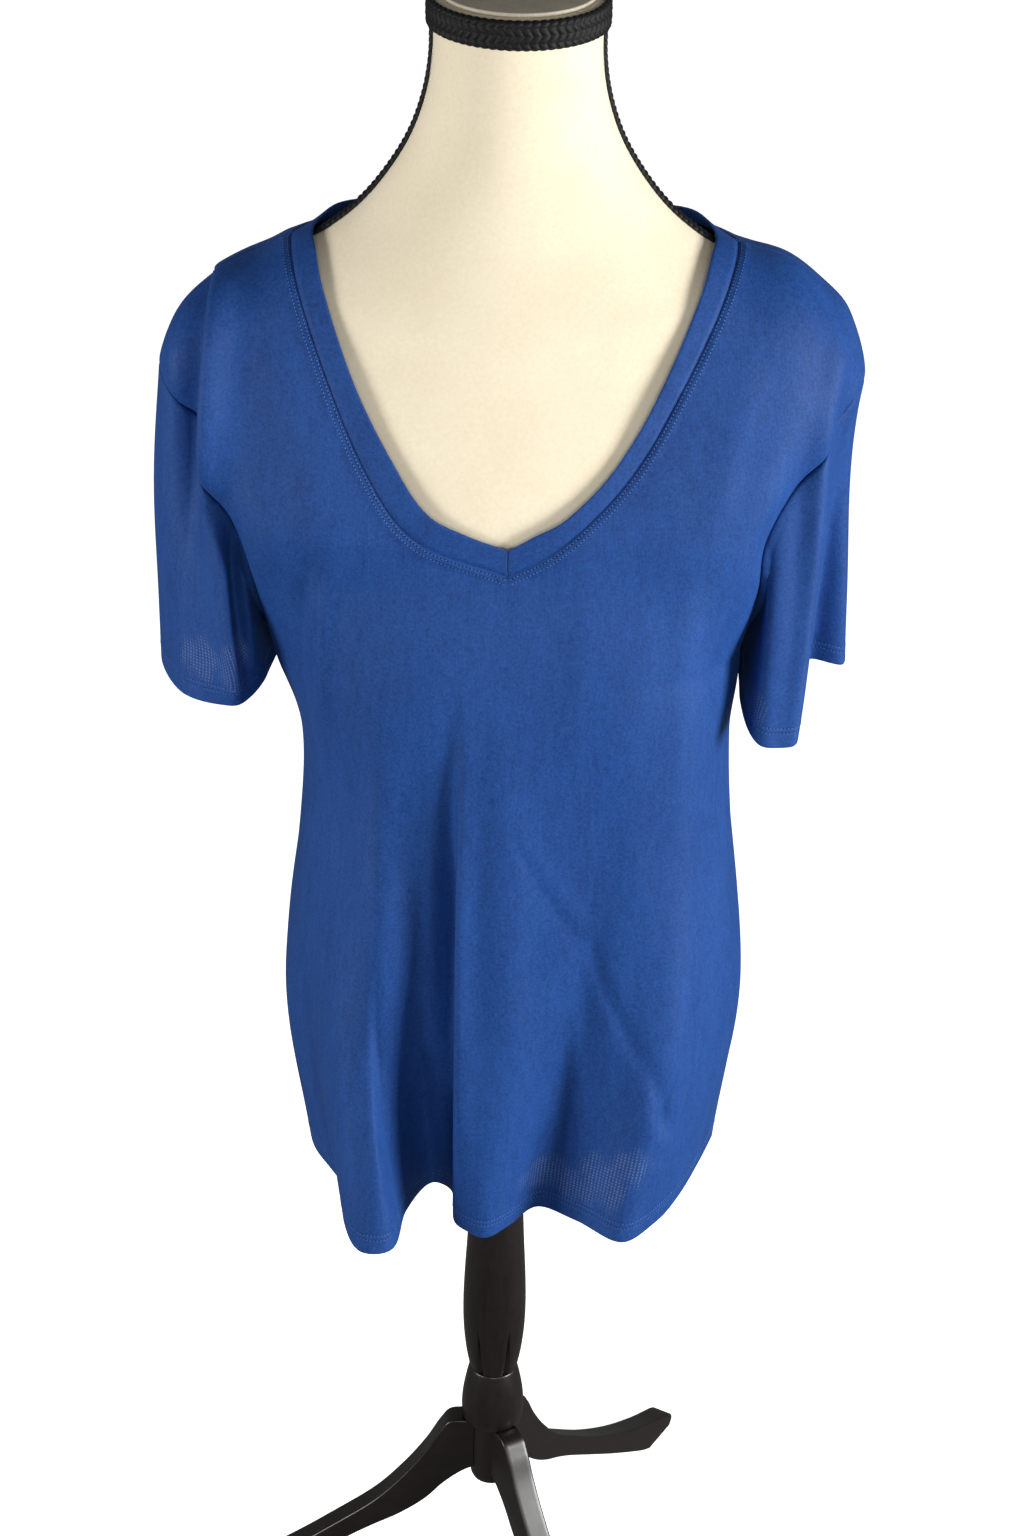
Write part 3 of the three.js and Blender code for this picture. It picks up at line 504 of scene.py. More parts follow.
def settle(points):
    """Points of the smooth shirt, moved by the creases and tucks of their own side and the ripple.
    Creases and ripple move them away from the shirt's upright middle, or upwards on the
    shoulders, and tucks straight forwards or back."""
    out = unit(points * OUT_BY_AXIS + [0, 0, 1e-3])
    out[..., 2] = smooth_step(*SHOULDER_HEIGHTS, points[..., 2])
    out = unit(out)
    front = 1 - smooth_step(*CREASES_CHANGE, points[..., 1])
    front_out, front_slide = tuck_shift(points, FRONT_TUCKS)
    back_out, back_slide = tuck_shift(points, BACK_TUCKS)
    depth = front * crease_depth(points, FRONT_CREASES) + ripple(points)
    depth = depth + (1 - front) * crease_depth(points, BACK_CREASES)
    moved = points + out * depth[..., None]
    front = 1 - smooth_step(*TUCKS_CHANGE, points[..., 1])
    moved[..., 0] += front * front_slide + (1 - front) * back_slide
    moved[..., 1] += (1 - front) * back_out - front * front_out
    return moved


print("creases:", len(FRONT_CREASES), "in front and", len(BACK_CREASES), "behind")

# %% [markdown]
# ## Knit, seams and stitches
#
# The real knit is about half a millimetre thick. Its hems are turned up once and held by a
# twin needle, which draws two shallow channels with a soft roll between them. Where two panels
# are sewn together, each dips into the seam. Drawn threads could be a pattern in the material,
# but real ones stand up and catch light, so each is a small capsule, one shape repeated along a
# line at an even pitch. In the gap between two threads lies a dark capsule of painted shade,
# which stands for the shadow where the needle went through the cloth.

# %% Sizes of the sewing
LAYER = 0.55  # one layer of knit
TURN_GAP = 0.9  # from the middle of the outer layer to the middle of the turned one
HEM_TURN = 15  # height of the turned layer
HEM_NEEDLES = (9.8, 13.4)
NECK_NEEDLES = (2.0, 5.0)
CHANNEL_DEPTH, CHANNEL_WIDTH = 0.22, 0.6  # under each needle
ROLL_HEIGHT, ROLL_WIDTH = 0.16, 1.1  # between the two
STITCH_PITCH = 2.4
THREAD_SIZE = np.array([1.45, 0.21, 0.21])  # length and two radii
# a dark capsule of painted shade, for the shadow where the needle went through: its size and sink
HOLE_SHADE_SIZE = np.array([0.85, 0.375, 0.375])
HOLE_SHADE_SINK = 0.22  # below the thread's own line
SEAM_DIP, SEAM_REACH = 0.75, 1.5

fold_turn = np.radians([20, 55, 90, 125, 160])
HEM_HEIGHTS = np.concatenate([
    [HEM_TURN, 12, 8.5, 5.5, 3, 1.3],  # down the turned layer
    TURN_GAP / 2 * (1 - np.sin(fold_turn)),  # round the fold
    [1.3, 2.6, 4.3, 6, 7.6, 8.8, 9.3, 9.8, 10.3, 10.9, 11.6],  # and up the outer layer
    [12.3, 12.9, 13.4, 13.9, 14.6, 16, 18.5],
])
FIRST_OUTER = 11  # the first row above the fold on the outer layer
HEM_INSETS = np.concatenate([
    np.full(FIRST_OUTER - len(fold_turn), TURN_GAP),
    TURN_GAP / 2 * (1 + np.cos(fold_turn)),
    np.zeros(len(HEM_HEIGHTS) - FIRST_OUTER),
])
NEEDLE_ROWS = [int(np.flatnonzero(HEM_HEIGHTS == height)[-1]) for height in HEM_NEEDLES]
print("a hem has", len(HEM_HEIGHTS), "rows, with needles on rows", NEEDLE_ROWS)


def twin_needle(distance, needles):
    """The relief of a twin needle: a narrow bell down at each needle and a low one up between."""
    low, high = needles
    channels = bump(distance - low, CHANNEL_WIDTH) + bump(distance - high, CHANNEL_WIDTH)
    roll = bump(distance - (low + high) / 2, ROLL_WIDTH)
    return ROLL_HEIGHT * roll - CHANNEL_DEPTH * channels


def seam_dip(distance):
    """How far a panel dips into a seam this far away."""
    return -SEAM_DIP * bump(distance, SEAM_REACH)


# %% Stitches
def stitch_shape(rings, sides):
    """One thread's loop as a capsule along x, closed by a point at each end. The radius of its
    rings is the cosine of an angle that reaches 77 degrees at the ends, to the power 0.7."""
    along = np.linspace(-0.5, 0.5, rings + 2)[1:-1]
    radius = np.cos(2 * along * np.radians(77.4)) ** 0.7
    turn = np.arange(sides) * 2 * np.pi / sides
    ring = np.stack([np.cos(turn), np.sin(turn)], axis=-1)
    body = [np.column_stack([np.full(sides, a), r * ring]) for a, r in zip(along, radius)]
    points = np.concatenate([*body, [[-0.5, 0, 0], [0.5, 0, 0]]])
    last = sides * rings
    j = np.arange(sides)
    k = (j + 1) % sides
    low_cap = np.stack([np.full(sides, last), k, j], axis=-1)
    high_cap = np.stack([np.full(sides, last + 1), last - sides + j, last - sides + k], axis=-1)
    body_faces = grid_faces(rings, sides, closed=True)[:, ::-1]
    return points, body_faces, np.concatenate([low_cap, high_cap])


LOOK_AHEAD = 0.2  # a thread points at the place this far on


def stitch_places(lines, offset):
    """A place and three directions for each step of even pitch along each line, offset from the
    line's start. A line is its points and the cloth's normals there."""
    places = []
    for points, normals in lines:
        run = np.concatenate([[0], np.cumsum(np.linalg.norm(np.diff(points, axis=0), axis=-1))])
        middles = np.arange(offset, run[-1], STITCH_PITCH)
        at = [np.stack([np.interp(m, run, each[:, a]) for a in range(3)], -1)
              for m in (middles, middles + LOOK_AHEAD) for each in (points, normals)]
        way = unit(at[2] - at[0])
        up = unit(at[1] - way * np.sum(at[1] * way, axis=-1, keepdims=True))
        places.append(np.stack([at[0], way, np.cross(up, way), up], axis=1))
    return np.concatenate(places)


def repeated(places, size, sink, rings, sides):
    """One capsule at each place, sunk along the normal, as points and lists of faces."""
    shape, body, caps = stitch_shape(rings, sides)
    middle = places[:, None, 0] - sink * places[:, None, 3]
    points = middle + np.einsum("pk,nkc->npc", shape * size, places[:, 1:])
    start = np.arange(len(places))[:, None, None] * len(shape)
    faces = [(each[None] + start).reshape(-1, each.shape[1]) for each in (body, caps)]
    return points.reshape(-1, 3), faces


def stitches(name, lines, thread, hole_shade):
    """A piece with a thread on each step of each line, and in each gap a dark capsule of painted
    shade for the shadow where the needle went through. These capsules' faces come last, and take
    the second material."""
    thread_places = stitch_places(lines, STITCH_PITCH / 2)
    points, faces = repeated(thread_places, THREAD_SIZE, 0, rings=4, sides=6)
    count = sum(len(each) for each in faces)
    hole_shade_places = stitch_places(lines, STITCH_PITCH)
    more, more_faces = repeated(hole_shade_places, HOLE_SHADE_SIZE, HOLE_SHADE_SINK, rings=2, sides=5)
    faces = faces + [each + len(points) for each in more_faces]
    every_face = [face for each in faces for face in each]
    piece = new_piece(name, np.concatenate([points, more]), every_face)
    dress(piece, thread, "knit")
    piece.data.materials.append(hole_shade)
    index = np.arange(len(piece.data.polygons)) >= count
    piece.data.polygons.foreach_set("material_index", index.astype(np.int32))
    return piece


# %% [markdown]
# ## Finishes
#
# Each finish is a small tree of nodes. What several of them need, such as the loops of a knit or
# a slow change of tone, is a node group with its own sizes as inputs, and a group puts out only
# a height or a shade. Cloth reads its own flat map, in metres of cloth, so that its loops bend
# with the folds. Wood and the form read their place in the object.

# %% Helpers for node trees
def node(tree, kind, inputs=None, **settings):
    """A node with its settings, and each input set to a number or linked to a socket."""
    made = tree.nodes.new(kind)
    for name, value in settings.items():
        setattr(made, name, value)
    for socket, value in (inputs or {}).items():
        if isinstance(value, bpy.types.NodeSocket):
            tree.links.new(value, made.inputs[socket])
        else:
            made.inputs[socket].default_value = value
    return made


def maths(tree, operation, *values, clamp=False):
    """The result of one sum on numbers or sockets."""
    inputs = dict(enumerate(values))
    return node(tree, "ShaderNodeMath", inputs, operation=operation, use_clamp=clamp).outputs[0]


def blend(tree, one, share, other):
    """This share of one value, and the rest of another."""
    return maths(tree, "MULTIPLY_ADD", one, share, maths(tree, "MULTIPLY", other, 1 - share))


def between(tree, share, low, high):
    """The colour that lies this share of the way from one to the other."""
    inputs = {0: share, 6: low, 7: high}
    return node(tree, "ShaderNodeMix", inputs, data_type="RGBA").outputs[2]


def noise(tree, place, scale, detail=2.0):
    """A noise about a half, with this many steps of ever finer detail."""
    inputs = {"Vector": place, "Scale": scale, "Detail": detail}
    return node(tree, "ShaderNodeTexNoise", inputs).outputs[0]


def in_object(tree):
    """Each point's place in its object, in metres."""
    return node(tree, "ShaderNodeTexCoord").outputs["Object"]


def stretched(tree, place, scale):
    """A place scaled along x, y and z. A pattern on it grows long where the scale is small."""
    return node(tree, "ShaderNodeMapping", {"Vector": place, "Scale": scale}).outputs[0]


def new_group(name, inputs, outputs):
    """A node group with named inputs, each a kind and a value, and named outputs of a kind."""
    group = bpy.data.node_groups.new(name, "ShaderNodeTree")
    for socket, (kind, value) in inputs.items():
        made = group.interface.new_socket(socket, in_out="INPUT", socket_type=kind)
        if value is not None:
            made.default_value = value
    for socket, kind in outputs.items():
        group.interface.new_socket(socket, in_out="OUTPUT", socket_type=kind)
    return group, node(group, "NodeGroupInput").outputs, node(group, "NodeGroupOutput").inputs


def placed(tree, group, inputs):
    """A group placed in a material with its own values."""
    return node(tree, "ShaderNodeGroup", inputs, node_tree=group).outputs


def linear(red, green, blue):
    """A colour given in the usual 0 to 255 steps, as the even light values that shaders use."""
    c = np.array([red, green, blue]) / 255
    c = np.where(c <= 0.04045, c / 12.92, ((c + 0.055) / 1.055) ** 2.4)
    return (*(float(each) for each in c), 1.0)


def new_material(name, **sockets):
    """A material with one Principled BSDF, and the constants that are set on its own sockets."""
    material = bpy.data.materials.new(name)
    material.use_nodes = True
    tree = material.node_tree
    shader = tree.nodes["Principled BSDF"]
    for socket, value in sockets.items():
        shader.inputs[socket.replace("_", " ")].default_value = value
    return material, tree, shader


def coat(tree, shader, colour, height=None, strength=0.0, depth=0.0):
    """Links a colour to a shader, and a height as a bump of a strength and a depth in metres."""
    tree.links.new(colour, shader.inputs["Base Color"])
    if height is not None:
        inputs = {"Height": height, "Strength": strength, "Distance": depth}
        relief = node(tree, "ShaderNodeBump", inputs).outputs[0]
        tree.links.new(relief, shader.inputs["Normal"])


FLOAT, VECTOR = "NodeSocketFloat", "NodeSocketVector"

# %% Shared groups
def waves_across(tree, value, pitch):
    """A sine of a length, one wave to each pitch."""
    turns = maths(tree, "DIVIDE", value, pitch)
    return maths(tree, "SINE", maths(tree, "MULTIPLY", turns, 2 * np.pi))


def make_knit_loops():
    """Knitted loops: upright wales, crossed by courses that lean a little in every other wale.
    The height is a quarter of the wale's sine and a quarter of the course's, about a half."""
    group, given, result = new_group(
        "knit_loops", {"Vector": (VECTOR, None), "Pitch": (FLOAT, 0.001)}, {"Height": FLOAT})
    flat = node(group, "ShaderNodeSeparateXYZ", {0: given["Vector"]}).outputs
    wale = waves_across(group, flat[0], given["Pitch"])
    lean = maths(group, "MULTIPLY", maths(group, "MULTIPLY", wale, given["Pitch"]), 0.28)
    course_pitch = maths(group, "MULTIPLY", given["Pitch"], 0.85)
    course = waves_across(group, maths(group, "ADD", flat[1], lean), course_pitch)
    both = maths(group, "ADD", wale, course)
    group.links.new(maths(group, "MULTIPLY_ADD", both, 0.25, 0.5), result["Height"])
    return group


def make_slow_tone():
    """A tone that changes slowly over the surface and a little over short ways: a large noise
    with a small one on it, spread to reach from 0 to 1."""
    inputs = {"Vector": (VECTOR, None), "Large": (FLOAT, 12.0), "Small": (FLOAT, 180.0),
              "Share": (FLOAT, 0.25)}
    group, given, result = new_group("slow_tone", inputs, {"Tone": FLOAT})
    large = noise(group, given["Vector"], given["Large"], 2.0)
    small = noise(group, given["Vector"], given["Small"], 3.0)
    both = node(group, "ShaderNodeMix", {0: given["Share"], 2: large, 3: small}).outputs[0]
    spread = node(group, "ShaderNodeMapRange", {0: both, 1: 0.3, 2: 0.7}).outputs[0]
    group.links.new(spread, result["Tone"])
    return group


knit_loops, slow_tone = make_knit_loops(), make_slow_tone()


def knitted(tree, pitch):
    """The height of knitted loops on the flat cloth, one wale to each pitch in metres."""
    cloth = node(tree, "ShaderNodeUVMap", uv_map="cloth").outputs[0]
    return placed(tree, knit_loops, {"Vector": cloth, "Pitch": pitch})["Height"]


def toned(tree, place, large, small, share):
    """The slow tone at a place, by the scales of its two noises and the small one's share."""
    inputs = {"Vector": place, "Large": large, "Small": small, "Share": share}
    return placed(tree, slow_tone, inputs)["Tone"]


# %% The knit and its thread
KNIT_LIGHT, KNIT_DARK = linear(41, 89, 165), linear(5, 37, 92)
SEEN_THROUGH = linear(150, 164, 196)
LOOP_PITCH, OPEN_PITCH = 0.00085, 0.0026  # metres to a wale, close and where it looks open


def make_knit():
    """Royal-blue knit: two close blues mixed by the loops and by two tones, one slow and drawn out
    upright like the rub of washing and one of fine flecks, a soft sheen, and pale dots where the
    mask thin says that light comes through the open loops."""
    material, tree, shader = new_material(
        "blue_knit", Roughness=0.6, Sheen_Weight=0.1, Sheen_Roughness=0.35, Specular_IOR_Level=0.22)
    shader.inputs["Sheen Tint"].default_value = linear(110, 160, 240)
    place = in_object(tree)
    loops = knitted(tree, LOOP_PITCH)
    rub = toned(tree, stretched(tree, place, (1.0, 1.0, 0.22)), 34.0, 240.0, 0.45)
    flecks = toned(tree, place, 520.0, 1300.0, 0.5)
    shade = blend(tree, loops, 0.2, blend(tree, rub, 0.35, flecks))
    blue = between(tree, shade, KNIT_DARK, KNIT_LIGHT)
    thin = node(tree, "ShaderNodeAttribute", attribute_name="thin").outputs["Fac"]
    mesh = knitted(tree, OPEN_PITCH)
    dots = node(tree, "ShaderNodeMapRange", {0: mesh, 1: 0.5, 2: 0.95}).outputs[0]
    broken = maths(tree, "MULTIPLY", thin, maths(tree, "MULTIPLY_ADD", flecks, 0.6, 0.4))
    pale = maths(tree, "MULTIPLY", maths(tree, "MULTIPLY", dots, broken), 0.55, clamp=True)
    height = blend(tree, loops, 0.5, flecks)
    coat(tree, shader, between(tree, pale, blue, SEEN_THROUGH), height, 0.5, 0.0003)
    return material


def make_thread():
    """Sewing thread of the same blue: fine twisted strands across each stitch."""
    material, tree, shader = new_material("blue_thread", Roughness=0.45, Sheen_Weight=0.2)
    inputs = {"Vector": in_object(tree), "Scale": 900.0}
    twist = node(tree, "ShaderNodeTexWave", inputs, bands_direction="DIAGONAL").outputs["Fac"]
    coat(tree, shader, between(tree, twist, linear(54, 98, 166), linear(84, 126, 192)))
    return material


def make_hole_shade():
    """Painted shade where a needle went through: the knit's blue made very dark, as the shadow
    there, with a little fleck.
    """
    material, tree, shader = new_material("needle_hole_shade", Roughness=0.9, Specular_IOR_Level=0.05)
    fleck = noise(tree, in_object(tree), 2200.0)
    coat(tree, shader, between(tree, fleck, linear(6, 18, 48), linear(14, 34, 78)))
    return material


blue_knit, blue_thread, needle_hole_shade = make_knit(), make_thread(), make_hole_shade()

# %% [markdown]
# ## Finishes of the form and its stand
#
# The form's cover is a tight jersey, the braid a dull black yarn, the boards are pressed board and
# plywood, and the stand is wood under satin black lacquer. Each could be one flat colour. Two
# close colours are used instead, mixed by a pattern that the real making leaves: loops, fibres, a
# mottle or a grain. The same pattern gives the small relief that light catches.

# %% The form's jersey, the braid and the boards
def make_jersey():
    """Cream jersey drawn tight: fine loops, with slightly darker flecks and slow changes."""
    material, tree, shader = new_material(
        "cream_jersey", Roughness=0.85, Sheen_Weight=0.2, Specular_IOR_Level=0.2)
    tone = toned(tree, in_object(tree), 22.0, 420.0, 0.55)
    shade = blend(tree, knitted(tree, 0.0011), 0.3, tone)
    cream = between(tree, shade, linear(233, 218, 186), linear(247, 236, 211))
    coat(tree, shader, cream, shade, 0.3, 0.0002)
    return material


def make_braid():
    """Black plaited braid: dull yarn with fine fibres in it."""
    material, tree, shader = new_material(
        "black_braid", Roughness=0.6, Sheen_Weight=0.02, Specular_IOR_Level=0.25)
    fibres = noise(tree, in_object(tree), 1500.0)
    black = between(tree, fibres, linear(3, 3, 4), linear(14, 14, 15))
    coat(tree, shader, black, fibres, 0.4, 0.0003)
    return material


def make_disc():
    """The neck's cap: pressed board with a fine mottle."""
    material, tree, shader = new_material("pressed_board", Roughness=0.6)
    tone = toned(tree, in_object(tree), 60.0, 500.0, 0.5)
    coat(tree, shader, between(tree, tone, linear(182, 172, 152), linear(204, 195, 176)))
    return material


def make_board():
    """The base board: plywood whose grain is a noise stretched along x."""
    material, tree, shader = new_material("plywood", Roughness=0.65)
    grain = noise(tree, stretched(tree, in_object(tree), (6.0, 90.0, 90.0)), 1.0, 5.0)
    wood = between(tree, grain, linear(150, 112, 68), linear(206, 172, 122))
    coat(tree, shader, wood, grain, 0.2, 0.0004)
    return material


cream_jersey, black_braid = make_jersey(), make_braid()
disc_board, plywood = make_disc(), make_board()

# %% The stand's black lacquer
def make_lacquer(name, grain_scale):
    """Satin black lacquer on wood. The grain is a noise stretched along the piece, and shows a
    little in the relief and in how dull the lacquer is."""
    material, tree, shader = new_material(
        name, Specular_IOR_Level=0.5, Coat_Weight=0.25, Coat_Roughness=0.2)
    place = in_object(tree)
    grain = noise(tree, stretched(tree, place, grain_scale), 1.0, 4.0)
    shade = blend(tree, grain, 0.6, toned(tree, place, 30.0, 240.0, 0.5))
    dull = node(tree, "ShaderNodeMapRange", {0: shade, 3: 0.3, 4: 0.46}).outputs[0]
    tree.links.new(dull, shader.inputs["Roughness"])
    black = between(tree, shade, linear(12, 9, 7), linear(29, 22, 18))
    coat(tree, shader, black, grain, 0.12, 0.0004)
    return material


turned_lacquer = make_lacquer("turned_lacquer", (260.0, 260.0, 22.0))
plank_lacquer = make_lacquer("plank_lacquer", (60.0, 60.0, 200.0))
print("materials:", [material.name for material in bpy.data.materials])

# %% [markdown]
# ## The front and the back
#
# Each panel is one mesh, from the turned hem over the fold and up to its shoulder seams. Its
# columns stand closer near the seams, so that the dip into a seam stays crisp. The wall comes
# last, from a Solidify modifier, because a thin shell bends and shades like cloth.

# %% Rows and columns of a panel
HALF_COLUMNS = 108
CROWD_ANGLE, CROWD_WIDTH, CROWDING = 21, 9, 1.6  # columns stand closer about this angle
EASE_ROWS = 12  # rows eased on each side of the point of the V
EDGE_STEPS = np.array([0.0, 0.7, 1.4, 2.0, 2.6, 3.4, 4.3, 5.0, 5.7, 6.8, 8.5])
FLAT_ROWS, NECK_ROWS, TURN_ROWS = 86, 34, 16
SIDES = (-1, 1)


def column_angles(point_of, place):
    """The angles of a panel's columns, by the length along the panel's curve at one height. They
    stand close beside both edges. Between, they step evenly through a sum that grows by 1 plus a
    bell about the hem's deepest fold, so that they crowd there."""
    angles = np.linspace(0, 90, 600)
    run = run_along(point_of(1, angles, place)[None], 1)[0]
    crowding = np.cumsum(1 + CROWDING * bump(angles - CROWD_ANGLE, CROWD_WIDTH))
    edges = EDGE_STEPS[-1], run[-1] - EDGE_STEPS[-1]
    even = np.linspace(*np.interp(edges, run, crowding), HALF_COLUMNS)
    even = np.interp(even, crowding, run)
    lengths = np.concatenate([EDGE_STEPS[:-1], even, run[-1] - EDGE_STEPS[-2::-1]])
    return np.interp(lengths, run, angles)


def panel_places(point_of, top):
    """The places of a panel's rows: the hem's own heights, then even steps to the V's point,
    then the rows of the neck, and those of the shoulder's turn, which crowd towards the seam."""
    places = np.linspace(0, 1, 200)
    hem = np.interp(HEM_HEIGHTS, point_of(1, 0, places)[..., 2] - HEM_Z, places)
    flat = np.linspace(hem[-1], POINT, FLAT_ROWS + 1)[1:]
    neck = np.linspace(POINT, top - 1, NECK_ROWS + 1)[1:]
    turn = top - (1 - np.linspace(0, 1, TURN_ROWS + 1)[1:]) ** 1.5
    return np.concatenate([hem, flat, neck, turn])


def flat_map(points, side, start):
    """Each point's place on the flat cloth: across by the lengths seen in plan, from a start for
    each row, and up by the lengths seen from the side."""
    across = start[:, None] + run_along(points * [1, 1, 0], 1)
    return np.stack([side * across, run_along(points * [0, 1, 1], 0)], axis=-1)


# %% The relief that sewing leaves
def outer_normals(normals):
    """The same normals, with each row of the turned layer and of the fold given that of the outer
    layer at its own height. Rows that go down, or turn, would point inwards or nowhere."""
    outer = np.arange(FIRST_OUTER, len(HEM_HEIGHTS))
    gaps = np.abs(HEM_HEIGHTS[:FIRST_OUTER, None] - HEM_HEIGHTS[outer][None])
    normals = normals.copy()
    normals[:FIRST_OUTER] = normals[outer[np.argmin(gaps, axis=1)]]
    return normals


def hem_relief(count):
    """How far each row of a panel stands out for its hem: the twin needle on the outer layer, and
    the turned layer's inset."""
    relief = np.zeros((count, 1))
    needles = twin_needle(HEM_HEIGHTS, HEM_NEEDLES) * (HEM_INSETS == 0)
    relief[: len(HEM_HEIGHTS), 0] = needles - HEM_INSETS
    return relief


ALLOWANCE_RISE = 0.35  # how much a seam allowance under the cloth lifts it
ALLOWANCE_START, ALLOWANCE_END = (0.3, 1.6), (5.8, 7.4)  # away from the seam


def neck_relief(away):
    """The relief beside the neck seam: the dip into it, the seam allowance that makes the cloth
    double for 6 mm, and the twin needle."""
    double = smooth_step(*ALLOWANCE_START, away) * (1 - smooth_step(*ALLOWANCE_END, away))
    return seam_dip(away) + ALLOWANCE_RISE * double + twin_needle(away, NECK_NEEDLES)


def edge_distance(points):
    """How far each point lies from its first column's edge, square to it: the run along the row
    times the sine of the angle between the row and the edge."""
    row_way = unit(points[:, 3] - points[:, 0])
    edge_way = unit(np.gradient(points[:, 0], axis=0))
    return run_along(points, 1) * np.linalg.norm(np.cross(row_way, edge_way), axis=-1)[:, None]


def from_top(points):
    """How far each point lies below its column's top."""
    rise = run_along(points, 0)
    return rise[-1:] - rise


def front_relief(points, _, places):
    """The front's seams: the sides, the shoulders, and the neck above the point of the V, where
    the relief starts round the point itself. The columns' angles aren't needed."""
    run = run_along(points, 1)
    relief = np.minimum(seam_dip(run[:, -1:] - run), seam_dip(from_top(points)))
    above = smooth_step(POINT - 0.12, POINT + 0.02, places)[:, None]
    away = edge_distance(points)
    below_point = np.linalg.norm(points - points[np.argmax(places >= POINT), 0], axis=-1)
    away = np.where(places[:, None] >= POINT, away, below_point)
    return relief + above * neck_relief(away)


def back_relief(points, angles, _):
    """The back's seams: the sides, and along the top the neck and then the shoulder. The rows'
    places aren't needed."""
    run = run_along(points, 1)
    below = from_top(points)
    neck = 1 - smooth_step(BACK_NECK_ANGLE - 1, BACK_NECK_ANGLE + 1, angles)
    top = neck * neck_relief(below) + (1 - neck) * seam_dip(below)
    return seam_dip(run[:, -1:] - run) + top


# %% Building the panels
THIN_PLACES = [  # x, z and half sizes of the places where light comes through the front
    (34, 506, 17, 14),
    (54, 500, 16, 12),
    (72, 512, 17, 19),
    (90, 528, 11, 13),
]


def thin_places(points, rows):
    """The mask of open-looking cloth: ovals whose soft edge wanders by a sine of x, itself shifted
    by a sine of z. It shows on the front only."""
    uneven = 0.35 * np.sin(points[..., 0] / 2.7 + 1.3 * np.sin(points[..., 2] / 3.9))
    total = np.zeros(points.shape[:-1])
    for x, z, half_x, half_z in rows:
        oval = ((points[..., 0] - x) / half_x) ** 2 + ((points[..., 2] - z) / half_z) ** 2
        total = np.maximum(total, 1 - smooth_step(0.2, 1.5, oval + uneven))
    return total * (1 - smooth_step(-30, -10, points[..., 1]))


def ease_past_point(points, places):
    """A panel's points drawn to the mean of the rows above and below, weighed by a bell, so that no
    ridge runs on sideways from the point of the V. The edges stay where the seams need them."""
    steps = np.arange(-EASE_ROWS, EASE_ROWS + 1)
    weights = bump(steps, EASE_ROWS / 2)
    middle = np.argmax(places >= POINT)
    rows = middle + steps
    near = points[rows[:, None] + steps]
    mean = np.einsum("rkcx,k->rcx", near, weights / weights.sum())
    run = run_along(points, 1)[rows]
    inside = smooth_step(12, 40, run) * (1 - smooth_step(-30, -8, run - run[:, -1:]))
    share = inside * (1 - smooth_step(0.5, 1, np.abs(rows - middle) / EASE_ROWS))[:, None]
    points = points.copy()
    points[rows] = mix(points[rows], mean, share[..., None])
    return points


def panel_halves(point_of, top, facing, relief_of, open_above):
    """Both halves of a panel, each as its points, its outward normals and its flat map. facing is
    1 for the front and -1 for the back. Up to open_above the halves share their middle column."""
    angles, places = column_angles(point_of, 2), panel_places(point_of, top)
    smooth = [point_of(side, angles[None], places[:, None]) for side in SIDES]
    smooth = [settle(ease_past_point(points, places)) for points in smooth]
    normals = [outer_normals(grid_normals(points) * side * facing)
               for side, points in zip(SIDES, smooth)]
    shared = places <= open_above + 1e-6
    middle = unit(normals[0][shared, 0] + normals[1][shared, 0])
    halves = []
    for side, points, outward in zip(SIDES, smooth, normals):
        outward[shared, 0] = middle
        relief = relief_of(points, angles[None], places) + hem_relief(len(places))
        uv = flat_map(points, side, np.where(shared, 0, side * points[:, 0, 0]))
        halves.append((points + outward * relief[..., None], outward, uv))
    return halves


def add_wall(piece):
    """Gives a sheet the knit's thickness, half of it to each side."""
    wall = piece.modifiers.new("wall", "SOLIDIFY")
    wall.thickness, wall.offset = LAYER / 1000, 0
    return piece


def build_panel(name, halves, facing, thin=()):
    """A panel's mesh from its two halves, with its wall."""
    rows, columns = halves[0][0].shape[:2]
    faces = grid_faces(rows, columns)
    turned = [faces if side * facing > 0 else faces[:, ::-1] for side in SIDES]
    points, uv = (np.concatenate([half[each] for half in halves]) for each in (0, 2))
    faces = np.concatenate([turned[0], turned[1] + rows * columns])
    masks = {"thin": thin_places(points, thin)}
    return add_wall(new_piece(name, points, faces, uv, masks, sharp_degrees=180))


front_halves = panel_halves(front_point, FRONT_TOP, 1, front_relief, POINT)
back_halves = panel_halves(back_point, BACK_TOP, -1, back_relief, BACK_TOP)
front = dress(build_panel("shirt_front", front_halves, 1, THIN_PLACES), blue_knit, "knit", "front")
back = dress(build_panel("shirt_back", back_halves, -1), blue_knit, "knit", "back")

# %% [markdown]
# ## The sleeves
#
# A short sleeve is a tube of cloth that hangs from its armhole. Here each column runs from the
# cuff's plan up to a place on the armhole, and the tube is fuller on its outer side. Under the
# arm it first stands out from the body and then falls, as a real one does.

# %% Tables of the cuffs
# place round the cuff from under the arm by the front, x, y, z
LEFT_CUFF = [
    (0, 152, 2, 846),
    (0.09, 152, -34, 838),
    (0.21, 164, -76, 829),  # the front lobe
    (0.3, 186, -66, 827),
    (0.38, 190, -26, 834),
    (0.45, 202, 8, 844),  # the fold's floor
    (0.54, 224, 18, 840),
    (0.66, 220, 56, 840),
    (0.78, 190, 72, 844),
    (0.9, 156, 42, 847),
]
RIGHT_CUFF = [
    (0, -151, 2, 848),
    (0.1, -156, -34, 846),
    (0.22, -173, -61, 843),
    (0.36, -210, -44, 841),
    (0.5, -229, 4, 842),
    (0.64, -220, 50, 841),
    (0.77, -190, 69, 845),
    (0.89, -155, 40, 848),
]
left_cuff, right_cuff = np.array(LEFT_CUFF, float), np.array(RIGHT_CUFF, float)
